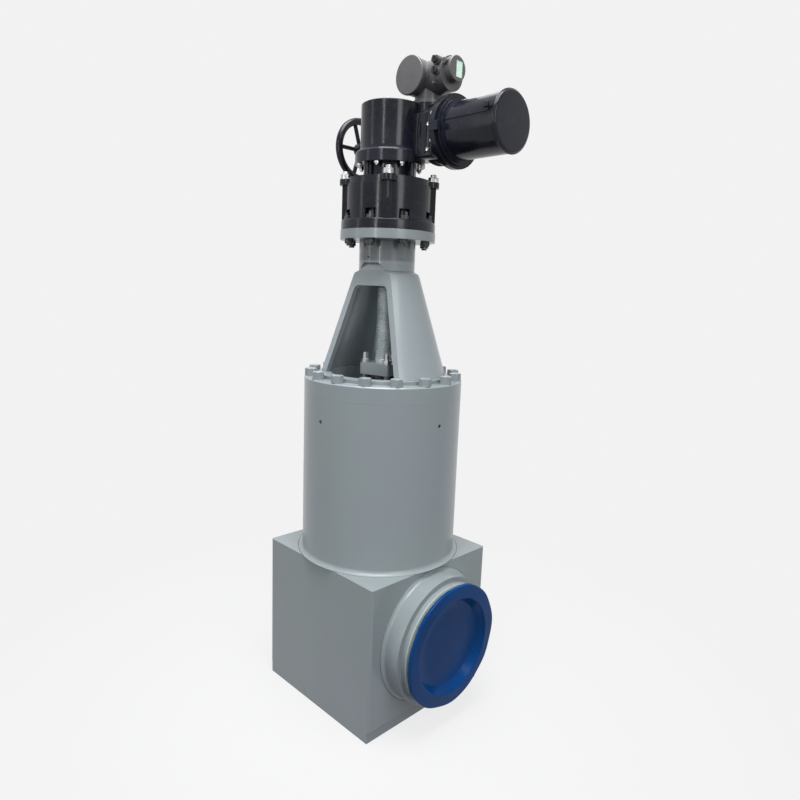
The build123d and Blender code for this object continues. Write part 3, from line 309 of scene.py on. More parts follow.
class Finish:
    """A procedural material on Object coordinates, with short ways to add its nodes."""

    def __init__(self, name):
        self.material = bpy.data.materials.get(name) or bpy.data.materials.new(name)
        self.material.use_nodes = True
        self.nodes = self.material.node_tree.nodes
        self.links = self.material.node_tree.links
        self.nodes.clear()
        self.output = self.nodes.new("ShaderNodeOutputMaterial")
        self.shader = self.nodes.new("ShaderNodeBsdfPrincipled")
        self.links.new(self.shader.outputs[0], self.output.inputs["Surface"])
        self.place = self.nodes.new("ShaderNodeTexCoord").outputs["Object"]
        self.normal = None

    def set(self, **values):
        """Puts constants on the shader's own sockets."""
        for name, value in values.items():
            self.shader.inputs[name.replace("_", " ")].default_value = value

    def stretched(self, scale):
        mapping = self.nodes.new("ShaderNodeMapping")
        mapping.inputs["Scale"].default_value = scale
        self.links.new(self.place, mapping.inputs["Vector"])
        return mapping.outputs[0]

    def grain(self, scale, detail=3.0, rough=0.5, stretch=None):
        """Noise through the object, stretched along an axis if a scale is given."""
        texture = self.nodes.new("ShaderNodeTexNoise")
        texture.inputs["Scale"].default_value = scale
        texture.inputs["Detail"].default_value = detail
        texture.inputs["Roughness"].default_value = rough
        source = self.stretched(stretch) if stretch else self.place
        self.links.new(source, texture.inputs["Vector"])
        return texture.outputs["Fac"]

    def spread(self, value, low, high, from_low=0.3, from_high=0.7):
        """A value carried from one range to another and kept inside it."""
        span = self.nodes.new("ShaderNodeMapRange")
        span.inputs["From Min"].default_value = from_low
        span.inputs["From Max"].default_value = from_high
        span.inputs["To Min"].default_value = low
        span.inputs["To Max"].default_value = high
        self.links.new(value, span.inputs["Value"])
        return span.outputs["Result"]

    def blend(self, share, first, second):
        """Two colours mixed by a share, each a constant or a socket."""
        mix = self.nodes.new("ShaderNodeMix")
        mix.data_type = "RGBA"
        for socket, value in (("A", first), ("B", second)):
            target = [s for s in mix.inputs if s.name == socket and s.type == "RGBA"][0]
            if isinstance(value, bpy.types.NodeSocket):
                self.links.new(value, target)
            else:
                target.default_value = value
        factor = [s for s in mix.inputs if s.name == "Factor" and s.type == "VALUE"][0]
        self.links.new(share, factor)
        return [s for s in mix.outputs if s.type == "RGBA"][0]

    def coordinate(self, axis):
        """One object coordinate: X, Y or Z."""
        apart = self.nodes.new("ShaderNodeSeparateXYZ")
        self.links.new(self.place, apart.inputs[0])
        return apart.outputs[axis]

    def sized(self, value):
        """A value without its sign."""
        node = self.nodes.new("ShaderNodeMath")
        node.operation = "ABSOLUTE"
        self.links.new(value, node.inputs[0])
        return node.outputs[0]

    def times(self, first, second):
        product = self.nodes.new("ShaderNodeMath")
        product.operation = "MULTIPLY"
        self.links.new(first, product.inputs[0])
        self.links.new(second, product.inputs[1])
        return product.outputs[0]

    def to(self, socket, value):
        self.links.new(value, self.shader.inputs[socket])

    def soft_edges(self, radius):
        """Rounds the edges in the shading."""
        bevel = self.nodes.new("ShaderNodeBevel")
        bevel.samples = 4
        bevel.inputs["Radius"].default_value = radius
        self.normal = bevel.outputs[0]
        self.links.new(self.normal, self.shader.inputs["Normal"])

    def bump(self, height, strength, distance):
        node = self.nodes.new("ShaderNodeBump")
        node.inputs["Strength"].default_value = strength
        node.inputs["Distance"].default_value = distance
        self.links.new(height, node.inputs["Height"])
        if self.normal:
            self.links.new(self.normal, node.inputs["Normal"])
        self.normal = node.outputs[0]
        self.links.new(self.normal, self.shader.inputs["Normal"])


def shade(colour, factor):
    """A colour made darker or lighter, with its alpha kept."""
    return tuple(min(1.0, c * factor) for c in tuple(colour)[:3]) + (1.0,)


def tinted(colour, other, share):
    """A colour carried part of the way to another."""
    return tuple(a + (b - a) * share for a, b in zip(tuple(colour)[:3], tuple(other)[:3])) + (1.0,)


def grey_enamel(name="grey_enamel", colour=None, bare_from=None):
    """Sprayed grey enamel: slow green and violet casts, faint runs and orange peel.

    A nozzle's machined end, from a distance along the pipe, is left pale and varnished.
    """
    colour = colour or settings("valve_paint").grey
    finish = Finish(name)
    cast = finish.spread(finish.grain(2.6, 2.0), 0, 1)
    base = finish.blend(cast, tinted(colour, green_cast, 0.45), tinted(colour, violet_cast, 0.35))
    dust = finish.spread(finish.grain(5.0, 3.0, 0.5, (1, 1, 0.35)), 0, 0.3, 0.45, 0.75)
    coat = finish.blend(dust, base, shade(colour, 0.84))
    if bare_from:
        reach = finish.sized(finish.coordinate("X"))
        bare = finish.spread(reach, 0, 1, bare_from - 0.0005, bare_from + 0.0005)
        coat = finish.blend(bare, coat, bare_end)
    finish.to("Base Color", coat)
    finish.to("Roughness", finish.spread(finish.grain(4.0, 1.0), 0.27, 0.36))
    finish.set(Coat_Weight=0.2, Coat_Roughness=0.12, Specular_IOR_Level=0.4)
    finish.soft_edges(0.0022)
    finish.bump(finish.grain(5.0, 1.0), 0.10, 0.004)
    finish.bump(finish.grain(240.0, 2.0), 0.05, 0.0008)
    return finish.material


def black_enamel():
    """Gloss black enamel over a sand casting."""
    colour = settings("valve_paint").black
    finish = Finish("black_enamel")
    cast = finish.spread(finish.grain(6.0, 3.0), 0, 1)
    base = finish.blend(cast, shade(colour, 0.8), tinted(colour, blue_black, 0.35))
    dust = finish.spread(finish.grain(34.0, 6.0, 0.65), 0, 0.35, 0.52, 0.8)
    finish.to("Base Color", finish.blend(dust, base, grey_dust))
    finish.to("Roughness", finish.spread(finish.grain(14.0, 1.0), 0.15, 0.22))
    finish.set(Coat_Weight=0.05, Coat_Roughness=0.08, Specular_IOR_Level=0.22)
    finish.soft_edges(0.0018)
    finish.bump(finish.grain(12.0, 1.0), 0.08, 0.002)
    finish.bump(finish.grain(240.0, 1.0), 0.02, 0.0005)
    return finish.material


def head_enamel():
    """Semi-gloss dark enamel on a smooth die casting, clouded lighter and darker at random."""
    colour = settings("valve_paint").head
    finish = Finish("head_enamel")
    cloud = finish.spread(finish.grain(13.0, 4.0), 0, 1)
    finish.to("Base Color", finish.blend(cloud, shade(colour, 0.86), shade(colour, 1.12)))
    finish.to("Roughness", finish.spread(finish.grain(20.0, 4.0), 0.34, 0.5))
    finish.set(Coat_Weight=0.2, Coat_Roughness=0.25)
    finish.soft_edges(0.0015)
    finish.bump(finish.grain(520.0, 2.0), 0.08, 0.0004)
    return finish.material


def bright_steel(name="bright_steel", painted_below=None):
    """Zinc plated fasteners, duller in random patches, oversprayed with black below a height."""
    finish = Finish(name)
    wear_and_shade = finish.spread(finish.grain(60.0, 5.0, 0.6), 0, 1, 0.35, 0.7)
    plated = finish.blend(wear_and_shade, zinc, dull_zinc)
    if painted_below:
        height = finish.coordinate("Z")
        bare = finish.spread(height, 0, 1, painted_below - 0.001, painted_below + 0.001)
        plated = finish.blend(bare, overspray, plated)
        finish.to("Metallic", bare)
    else:
        finish.set(Metallic=1.0)
    finish.to("Base Color", plated)
    finish.to("Roughness", finish.spread(finish.grain(90.0, 4.0), 0.22, 0.42))
    finish.soft_edges(0.0012)
    finish.bump(finish.grain(700.0, 2.0), 0.08, 0.0003)
    return finish.material


def machined_steel():
    """Turned steel inside the valve, oiled."""
    finish = Finish("machined_steel")
    film = finish.spread(finish.grain(18.0, 4.0), 0, 1)
    finish.to("Base Color", finish.blend(film, clean_steel, oiled_steel))
    turned_marks = finish.grain(300.0, 2.0, 0.5, (0.05, 0.05, 1))
    finish.to("Roughness", finish.spread(finish.grain(40.0, 3.0), 0.28, 0.45))
    finish.set(Metallic=1.0)
    finish.soft_edges(0.001)
    finish.bump(turned_marks, 0.08, 0.0004)
    return finish.material


def dark_fastener():
    """Black oxide bolts and nuts."""
    finish = Finish("dark_fastener")
    wear_and_shade = finish.spread(finish.grain(70.0, 5.0), 0, 1, 0.45, 0.75)
    finish.to("Base Color", finish.blend(wear_and_shade, black_oxide, rubbed_oxide))
    finish.to("Roughness", finish.spread(finish.grain(50.0, 3.0), 0.35, 0.5))
    finish.set(Metallic=0.6)
    finish.soft_edges(0.0012)
    return finish.material


def painted_tube():
    """The yoke's tube: dark painted shade and streaks of painted reflection above its pad, with its pad
    painted like the yoke.
    """
    finish = Finish("painted_tube")
    paint = settings("valve_paint").grey
    # Painted reflection streaks, stretched up the tube, between painted shade and a lighter painted
    # sheen.
    painted_streaks = finish.spread(finish.grain(9.0, 4.0, 0.6, (1, 1, 0.18)), 0, 1, 0.35, 0.62)
    wear_and_shade = finish.blend(painted_streaks, tube_painted_shade, tinted(paint, tube_painted_sheen, 0.7))
    pad_height = 0.033
    pad_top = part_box("yoke")[1].z + pad_height
    # Below the pad's top the tube keeps the yoke's grey. Above it, the tube takes the painted shade and
    # reflection streaks.
    above = finish.spread(finish.coordinate("Z"), 0, 1, pad_top - 0.002, pad_top + 0.006)
    finish.to("Base Color", finish.blend(above, tuple(paint), wear_and_shade))
    finish.to("Roughness", finish.spread(finish.grain(12.0, 4.0), 0.18, 0.42))
    finish.set(Coat_Weight=0.4, Coat_Roughness=0.1)
    finish.soft_edges(0.0015)
    finish.bump(finish.grain(90.0, 3.0), 0.1, 0.0006)
    return finish.material


def greased_steel():
    """The stem: turned steel under a film of pale grease."""
    finish = Finish("greased_steel")
    smear = finish.spread(finish.grain(24.0, 5.0, 0.6, (1, 1, 0.5)), 0, 1, 0.38, 0.62)
    finish.to("Base Color", finish.blend(smear, wiped_stem, grease))
    finish.to("Roughness", finish.spread(finish.grain(30.0, 3.0), 0.25, 0.5))
    finish.set(Metallic=0.1, Coat_Weight=0.4, Coat_Roughness=0.15)
    finish.bump(finish.grain(110.0, 3.0), 0.15, 0.0006)
    return finish.material


def bronze():
    """Machined bronze."""
    finish = Finish("bronze")
    tone = finish.spread(finish.grain(22.0, 4.0), 0, 1)
    finish.to("Base Color", finish.blend(tone, bright_bronze, dull_bronze))
    finish.to("Roughness", finish.spread(finish.grain(50.0, 3.0), 0.25, 0.42))
    finish.set(Metallic=1.0)
    finish.soft_edges(0.001)
    finish.bump(finish.grain(300.0, 2.0, 0.5, (0.05, 0.05, 1)), 0.08, 0.0004)
    return finish.material


def graphite():
    """Pressed graphite packing."""
    finish = Finish("graphite")
    weave = finish.grain(160.0, 4.0)
    tone = finish.spread(weave, 0, 1)
    finish.to("Base Color", finish.blend(tone, pressed_graphite, rubbed_graphite))
    finish.set(Roughness=0.6, Metallic=0.2)
    finish.bump(weave, 0.4, 0.0006)
    return finish.material


def cap_plastic():
    """Moulded polythene with a soft sheen, slightly uneven in thickness."""
    colour = settings("valve_paint").cap
    finish = Finish("cap_plastic")
    thin = finish.spread(finish.grain(5.0, 3.0), 0, 1)
    finish.to("Base Color", finish.blend(thin, shade(colour, 0.82), shade(colour, 1.18)))
    finish.to("Roughness", finish.spread(finish.grain(13.0, 2.0), 0.2, 0.3))
    finish.set(Specular_IOR_Level=0.1)
    finish.bump(finish.grain(7.0, 1.0), 0.12, 0.004)
    return finish.material


def knob_plastic():
    """Black moulded knobs and cable plugs."""
    finish = Finish("knob_plastic")
    tone = finish.spread(finish.grain(80.0, 3.0), 0, 1)
    finish.to("Base Color", finish.blend(tone, knob_black, knob_sheen))
    finish.to("Roughness", finish.spread(finish.grain(120.0, 3.0), 0.35, 0.5))
    finish.soft_edges(0.0012)
    return finish.material


def display_glass():
    """The display: pale green behind a glossy window, lit from inside."""
    colour = settings("valve_paint").display
    finish = Finish("display_glass")
    pale = finish.spread(finish.grain(30.0, 2.0), 0, 1)
    finish.to("Base Color", finish.blend(pale, colour, shade(colour, 0.88)))
    finish.set(Roughness=0.08, Coat_Weight=1.0, Coat_Roughness=0.03, Emission_Strength=0.25)
    finish.shader.inputs["Emission Color"].default_value = tuple(colour)
    return finish.material


# Shapes


def soft_shading():
    """A modifier tree that welds a node's triangles and shades them smooth between sharp edges."""
    group = bpy.data.node_groups.get("soft_shading")
    if group:
        return group
    group = bpy.data.node_groups.new("soft_shading", "GeometryNodeTree")
    group.interface.new_socket("Geometry", in_out="INPUT", socket_type="NodeSocketGeometry")
    group.interface.new_socket("Geometry", in_out="OUTPUT", socket_type="NodeSocketGeometry")
    start = group.nodes.new("NodeGroupInput")
    weld = group.nodes.new("GeometryNodeMergeByDistance")
    weld.inputs["Distance"].default_value = weld_distance
    smooth = group.nodes.new("GeometryNodeSetShadeSmooth")
    angle = group.nodes.new("GeometryNodeInputMeshEdgeAngle")
    steep = group.nodes.new("FunctionNodeCompare")
    steep.operation = "GREATER_THAN"
    steep.inputs[1].default_value = sharp_angle
    crease = group.nodes.new("GeometryNodeSetShadeSmooth")
    crease.domain = "EDGE"
    crease.inputs["Shade Smooth"].default_value = False
    end = group.nodes.new("NodeGroupOutput")
    link = group.links.new
    link(start.outputs[0], weld.inputs["Geometry"])
    link(weld.outputs["Geometry"], smooth.inputs["Geometry"])
    link(smooth.outputs["Geometry"], crease.inputs["Geometry"])
    link(angle.outputs["Unsigned Angle"], steep.inputs[0])
    link(steep.outputs[0], crease.inputs["Selection"])
    link(crease.outputs["Geometry"], end.inputs[0])
    return group


def finish_node(name, material):
    """Gives a CAD node its finish and smooth shading."""
    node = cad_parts[name]
    node.data.materials.clear()
    node.data.materials.append(material)
    modifier = node.modifiers.new("soft_shading", "NODES")
    modifier.node_group = soft_shading()


def piece(name, bm, material, body, replaces=()):
    """Turns a bmesh into a finished object that rides on a body."""
    bmesh.ops.remove_doubles(bm, verts=bm.verts, dist=weld_distance)
    bmesh.ops.recalc_face_normals(bm, faces=bm.faces)
    mesh = bpy.data.meshes.new(name)
    bm.to_mesh(mesh)
    bm.free()
    mesh.polygons.foreach_set("use_smooth", [True] * len(mesh.polygons))
    mesh.set_sharp_from_angle(angle=sharp_angle)
    mesh.materials.append(material)
    made = bpy.data.objects.new(name, mesh)
    bpy.context.scene.collection.objects.link(made)
    if replaces:
        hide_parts(*replaces)
    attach(made, body)


def arc(centre, radius, first, last, steps):
    """Points (radius, height) along an arc, angles in degrees from the outward direction."""
    points = []
    for i in range(steps + 1):
        angle = radians(first + (last - first) * i / steps)
        points.append((centre[0] + radius * cos(angle), centre[1] + radius * sin(angle)))
    return points


def spun(profile, steps, closed=True):
    """A bmesh turned about Z from (radius, height) points."""
    bm = bmesh.new()
    verts = [bm.verts.new((radius, 0, height)) for radius, height in profile]
    pairs = list(zip(verts, verts[1:]))
    if closed:
        pairs.append((verts[-1], verts[0]))
    edges = [bm.edges.new(pair) for pair in pairs]
    bmesh.ops.spin(bm, geom=verts + edges, cent=(0, 0, 0), axis=(0, 0, 1), angle=tau,
                   steps=steps, use_merge=True)
    bmesh.ops.remove_doubles(bm, verts=bm.verts, dist=weld_distance)
    return bm


def along_x(bm, side, height):
    """Lays a shape turned about Z along the pipe, facing out of the given side."""
    turn = Matrix.Rotation(radians(90) * side, 4, "Y")
    bmesh.ops.transform(bm, matrix=Matrix.Translation((0, 0, height)) @ turn, verts=bm.verts)


def joined(*parts):
    """One bmesh from several, each freed after it is taken in."""
    whole = bmesh.new()
    for part in parts:
        mesh = bpy.data.meshes.new("part")
        part.to_mesh(mesh)
        part.free()
        whole.from_mesh(mesh)
        bpy.data.meshes.remove(mesh)
    return whole


def soft_box(low, high, round_by):
    """A box between two corners with rounded edges."""
    bm = bmesh.new()
    bmesh.ops.create_cube(bm, size=1)
    size = [b - a for a, b in zip(low, high)]
    centre = [(a + b) / 2 for a, b in zip(low, high)]
    bmesh.ops.scale(bm, vec=size, verts=bm.verts)
    bmesh.ops.translate(bm, vec=centre, verts=bm.verts)
    bmesh.ops.bevel(bm, geom=bm.edges, offset=round_by, segments=3, affect="EDGES", profile=0.5)
    return bm


def screw(radius, height, place, facing):
    """A socket screw's round head with its recess, facing a direction."""
    bm = bmesh.new()
    bmesh.ops.create_cone(bm, cap_ends=True, segments=24, radius1=radius, radius2=radius * 0.92,
                          depth=height)
    top = [face for face in bm.faces if face.normal.z > 0.9]
    bmesh.ops.inset_region(bm, faces=top, thickness=radius * 0.42, depth=0)
    bmesh.ops.translate(bm, verts=[v for face in top for v in face.verts], vec=(0, 0, -height * 0.5))
    turn = Vector(facing).to_track_quat("Z", "Y").to_matrix().to_4x4()
    bmesh.ops.transform(bm, matrix=Matrix.Translation(place) @ turn, verts=bm.verts)
    return bm


def cap_front(node):
    """Distance of an end cap's face from the stem's axis."""
    low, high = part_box(node)
    return max(abs(low.x), abs(high.x))


class VALVE_OT_end_caps(bpy.types.Operator):
    """Moulds the soft caps that close both weld ends"""
    bl_idname = "valve.end_caps"
    bl_label = "Mould the end caps"

    def execute(self, context):
        cap = settings("valve_cap")
        plastic = cap_plastic()
        for side, node, body in ((1, "outlet_cap", "outlet_cover"), (-1, "inlet_cap", "inlet_cover")):
            low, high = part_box(node)
            front = cap_front(node)
            rim = (high.z - low.z) / 2 + cap.flare
            bm = spun(self.profile(cap, rim, front), rim_steps, closed=False)
            self.soften(bm, cap, front)
            along_x(bm, side, (low.z + high.z) / 2)
            piece("moulded_" + node, bm, plastic, body, (node,))
        return {"FINISHED"}

    def profile(self, cap, rim, front):
        """Half section of a cap, from the middle of its back round the rim to its floor."""
        tip = front - cap.rim_thickness
        seat = tip + 0.0002
        floor = front - cap.recess_depth
        back = floor - cap.wall
        bend = 0.004
        lip = 0.003
        lap = rim - cap.plug_radius
        face = rim - cap.recess_radius
        return [
            (0, back), (cap.floor_radius * 0.5, back), (cap.floor_radius, back),
            (cap.plug_radius - 0.008, back + 0.002),
            (cap.plug_radius, tip - 0.008), (cap.plug_radius, seat),
            *[(cap.plug_radius + lap * i / 6, seat) for i in range(1, 6)],
            *arc((rim - bend, tip + bend), bend, -90, 0, 4),
            *arc((rim - bend, front - bend), bend, 0, 90, 4),
            *[(rim - face * i / 5, front) for i in range(1, 5)],
            *arc((cap.recess_radius + lip, front - lip), lip, 90, 205, 5),
            (cap.floor_radius + 0.006, floor + 0.0065), (cap.floor_radius + 0.003, floor + 0.002),
            (cap.floor_radius - 0.002, floor), (cap.floor_radius * 0.7, floor),
            (cap.floor_radius * 0.35, floor), (0, floor),
        ]

    def soften(self, bm, cap, front):
        """Bends the rim as a thin moulding bends, most where it is pressed in at the lower side.

        A dent has its place and half its width in degrees, and its depth as a multiple of the rim's wave.
        """
        dents = ((-52, 17, 1.7), (-18, 16, 1.7), (150, 30, 0.8))
        bell_base = 2.718
        full_bend = 0.045
        face_depth = 0.012
        for vert in bm.verts:
            reach = Vector((vert.co.x, vert.co.y, 0))
            over = reach.length - cap.recess_radius
            if over <= 0 or vert.co.z < front - cap.rim_thickness:
                continue
            share = min(1.0, over / full_bend)
            angle = self.angle(reach)
            stray = cap.wave * (0.45 * sin(2 * angle + 0.7) + 0.3 * sin(5 * angle + 2.0)
                                + 0.2 * sin(11 * angle))
            for centre, width, depth in dents:
                gap = (angle - radians(centre) + pi) % tau - pi
                stray -= cap.wave * depth * bell_base ** (-(gap / radians(width)) ** 2)
            vert.co += reach.normalized() * stray * share
            if vert.co.z > front - face_depth:
                vert.co.z -= 0.35 * cap.wave * share * (1 + sin(3 * angle + 1.1))

    def angle(self, reach):
        """Turn round the pipe from +Y, once the shape is laid along X."""
        return -Vector((1, 0)).angle_signed(Vector((reach.y, -reach.x)), 0)


class VALVE_OT_stem(bpy.types.Operator):
    """Turns the stem and cuts its left-hand thread"""
    bl_idname = "valve.stem"
    bl_label = "Cut the stem"

    def execute(self, context):
        stem = settings("valve_stem")
        low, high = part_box("stem")
        plain_length = 0.012
        plain_top = 0.008
        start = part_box("gland_flange")[1].z + plain_length
        shaft = spun(self.profile(stem, low.z, high.z, start), stem_steps, closed=False)
        thread = self.thread(stem, start - 0.5 * stem.lead, high.z - plain_top)
        piece("threaded_stem", joined(shaft, thread), greased_steel(), "obturator",
              ("stem",))
        return {"FINISHED"}

    def profile(self, stem, foot, top, start):
        """Half section of the stem, from the middle of its foot to the middle of its top."""
        neck = foot + stem.foot_height
        shoulder = neck + stem.neck_height
        seat = foot + stem.back_seat
        core = stem.radius - stem.depth
        collar = 0.046
        cone = 0.0135
        edge = 0.002
        return [
            (0, foot), (stem.foot_radius - edge, foot), (stem.foot_radius, foot + edge),
            (stem.foot_radius, neck - edge), (stem.foot_radius - edge, neck),
            (stem.neck_radius, neck), (stem.neck_radius, shoulder), (stem.radius, shoulder),
            (stem.radius, seat - stem.collar_height), (collar, seat - stem.collar_height),
            (collar, seat - cone), (stem.radius, seat), (stem.radius, start),
            (core, start + 0.004), (core, top - 0.003), (core - 0.003, top), (0, top),
        ]

    def thread(self, stem, start, end):
        """A ridge of trapezoid section wound left-handed up the stem."""
        turns = int((end - start) / stem.lead)
        overlap = 0.0006
        clearance = 0.00005
        root = stem.radius - stem.depth - overlap
        crest = stem.radius - clearance
        half_root, half_crest = 0.30, 0.19
        section = [(root, -half_root), (crest, -half_crest), (crest, half_crest), (root, half_root)]
        bm = bmesh.new()
        verts = [bm.verts.new((radius, 0, start + share * stem.lead)) for radius, share in section]
        edges = list(bm.faces.new(verts).edges)
        made = bmesh.ops.spin(bm, geom=verts + edges, cent=(0, 0, 0), axis=(0, 0, 1),
                              dvec=(0, 0, stem.lead / thread_steps), angle=-tau * turns,
                              steps=thread_steps * turns)
        last = [item for item in made["geom_last"] if isinstance(item, bmesh.types.BMVert)]
        bm.faces.new(sorted(last, key=lambda v: (v.co.z, -v.co.xy.length)))
        return bm


class VALVE_OT_arm_casting(bpy.types.Operator):
    """Adds the boxed casting, ribs and screws between the column and the motor"""
    bl_idname = "valve.arm_casting"
    bl_label = "Add the arm's casting"

    def execute(self, context):
        arm = settings("valve_arm")
        flange_low, flange_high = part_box("motor_flange")
        axis_z = (flange_low.z + flange_high.z) / 2
        end = flange_low.x
        top, bottom = axis_z + arm.above, axis_z - arm.below
        box_end = end - 0.001
        rib_shares = (0.20, 0.62, 0.80)
        screw_rises = (0.012, -0.070)
        screw_height = 0.006
        parts = [soft_box((arm.start, arm.front, bottom), (box_end, arm.back, top), 0.006)]
        for share in rib_shares:
            rib = arm.rib_start + share * (end - arm.rib_start)
            low = (rib, arm.front - arm.rib_height, bottom + 0.012)
            high = (rib + arm.rib_width, arm.front + 0.02, top - 0.003)
            parts.append(soft_box(low, high, 0.0018))
        low = (box_end - arm.collar_width, arm.front - 0.009, bottom + 0.004)
        high = (box_end, arm.front + 0.03, top + 0.004)
        parts.append(soft_box(low, high, 0.002))
        piece("arm_casting", joined(*parts), black_enamel(), "valve")
        self.motor_clip(arm, axis_z)
        heads = []
        for rise in screw_rises:
            place = (end - 0.018, arm.front - 0.007, axis_z + rise)
            heads.append(screw(arm.screw_radius, screw_height, place, (0, -1, 0)))
        piece("arm_screws", joined(*heads), bright_steel(), "valve")
        return {"FINISHED"}

    def motor_clip(self, arm, axis_z):
        """The clip where the barrel's seam meets the end cap, and the bead round the cap."""
        low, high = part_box("motor_end_cap")
        bead_radius = 0.0036
        bead_inset = 0.0012
        bead_place = low.x + 0.017
        centre = (low.y + high.y) / 2
        reach = (high.z - low.z) / 2
        out = Vector((0, -cos(arm.clip_angle), sin(arm.clip_angle)))
        clip = soft_box((-0.010, -0.008, -0.006), (0.010, 0.008, 0.003), 0.0015)
        face = out.to_track_quat("Z", "X").to_matrix().to_4x4()
        place = Vector((low.x - 0.006, centre, axis_z)) + out * (reach + 0.012)
        bmesh.ops.transform(clip, matrix=Matrix.Translation(place) @ face, verts=clip.verts)
        bead = spun(arc((reach - bead_inset, bead_place), bead_radius, 0, 315, 7), bead_steps)
        bmesh.ops.transform(bead, matrix=Matrix.Rotation(radians(90), 4, "Y"), verts=bead.verts)
        bmesh.ops.translate(bead, verts=bead.verts, vec=(0, centre, axis_z))
        piece("motor_clip", joined(clip, bead), black_enamel(), "valve")


class VALVE_OT_foot_ring(bpy.types.Operator):
    """Turns the black ring at the foot of the stem nut's housing and sets its nuts"""
    bl_idname = "valve.foot_ring"
    bl_label = "Add the housing's foot ring"

    def execute(self, context):
        ring = settings("valve_foot")
        low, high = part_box("yoke_flange")
        gap = 0.0004
        stud_rise = 0.004
        foot = high.z + gap
        reach = (high.x - low.x) / 2 - ring.inset
        top = foot + ring.height
        profile = [
            (ring.inner_radius, foot), (reach, foot), (reach, top - ring.edge),
            *arc((reach - ring.edge, top - ring.edge), ring.edge, 0, 90, 4),
            (ring.inner_radius, top),
        ]
        piece("foot_ring", spun(profile, ring_steps), black_enamel(), "valve")
        parts = []
        for place in range(ring.nut_count):
            turn = tau * place / ring.nut_count + ring.nut_turn
            circle = reach - ring.nut_inset
            spot = (circle * cos(turn), circle * sin(turn))
            parts.append(self.bar(spot, top, 6, ring.nut_radius, ring.nut_height))
            parts.append(self.bar(spot, top + stud_rise, 20, ring.stud_radius, ring.stud_height))
        piece("foot_ring_nuts", joined(*parts), dark_fastener(), "valve")
        return {"FINISHED"}

    def bar(self, spot, foot, sides, radius, height):
        """A nut or stud standing on a height."""
        bm = bmesh.new()
        bmesh.ops.create_cone(bm, cap_ends=True, segments=sides, radius1=radius, radius2=radius,
                              depth=height)
        bmesh.ops.translate(bm, verts=bm.verts, vec=(*spot, foot + height / 2))
        return bm


class VALVE_OT_paint_nodes(bpy.types.Operator):
    """Gives each piece of the frame its finish"""
    bl_idname = "valve.paint_nodes"
    bl_label = "Paint the pieces"

    def execute(self, context):
        paint = settings("valve_paint")
        finishes = {
            grey_enamel(): grey_enamel_nodes,
            # The yoke's top flange takes the darker grey as painted shade.
            grey_enamel("shaded_flange_enamel", paint.shaded_grey): shaded_enamel_nodes,
            grey_enamel("outlet_enamel", bare_from=self.weld_end("outlet_cap")): ("outlet_hub",),
            grey_enamel("inlet_enamel", bare_from=self.weld_end("inlet_cap")): ("inlet_hub",),
            black_enamel(): black_enamel_nodes,
            head_enamel(): head_nodes,
            bright_steel(): bright_nodes,
            bright_steel("ear_steel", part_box("adapter_plate")[1].z - 0.002): ("ear_studs",),
            machined_steel(): steel_nodes,
            bronze(): bronze_nodes,
            dark_fastener(): ("flange_bolts", "gland_bush"),
            painted_tube(): ("yoke_tube",),
            greased_steel(): ("stem",),
            graphite(): ("packing_rings",),
            cap_plastic(): ("outlet_cap", "inlet_cap"),
            knob_plastic(): ("mode_knob", "command_knob", "cable_plugs"),
            display_glass(): ("display_window",),
        }
        for material, names in finishes.items():
            for name in names:
                finish_node(name, material)
        return {"FINISHED"}

    def weld_end(self, cap):
        """Where a nozzle's machined end starts, from the stem's axis."""
        return cap_front(cap) - settings("valve_cap").rim_thickness - weld_end_length


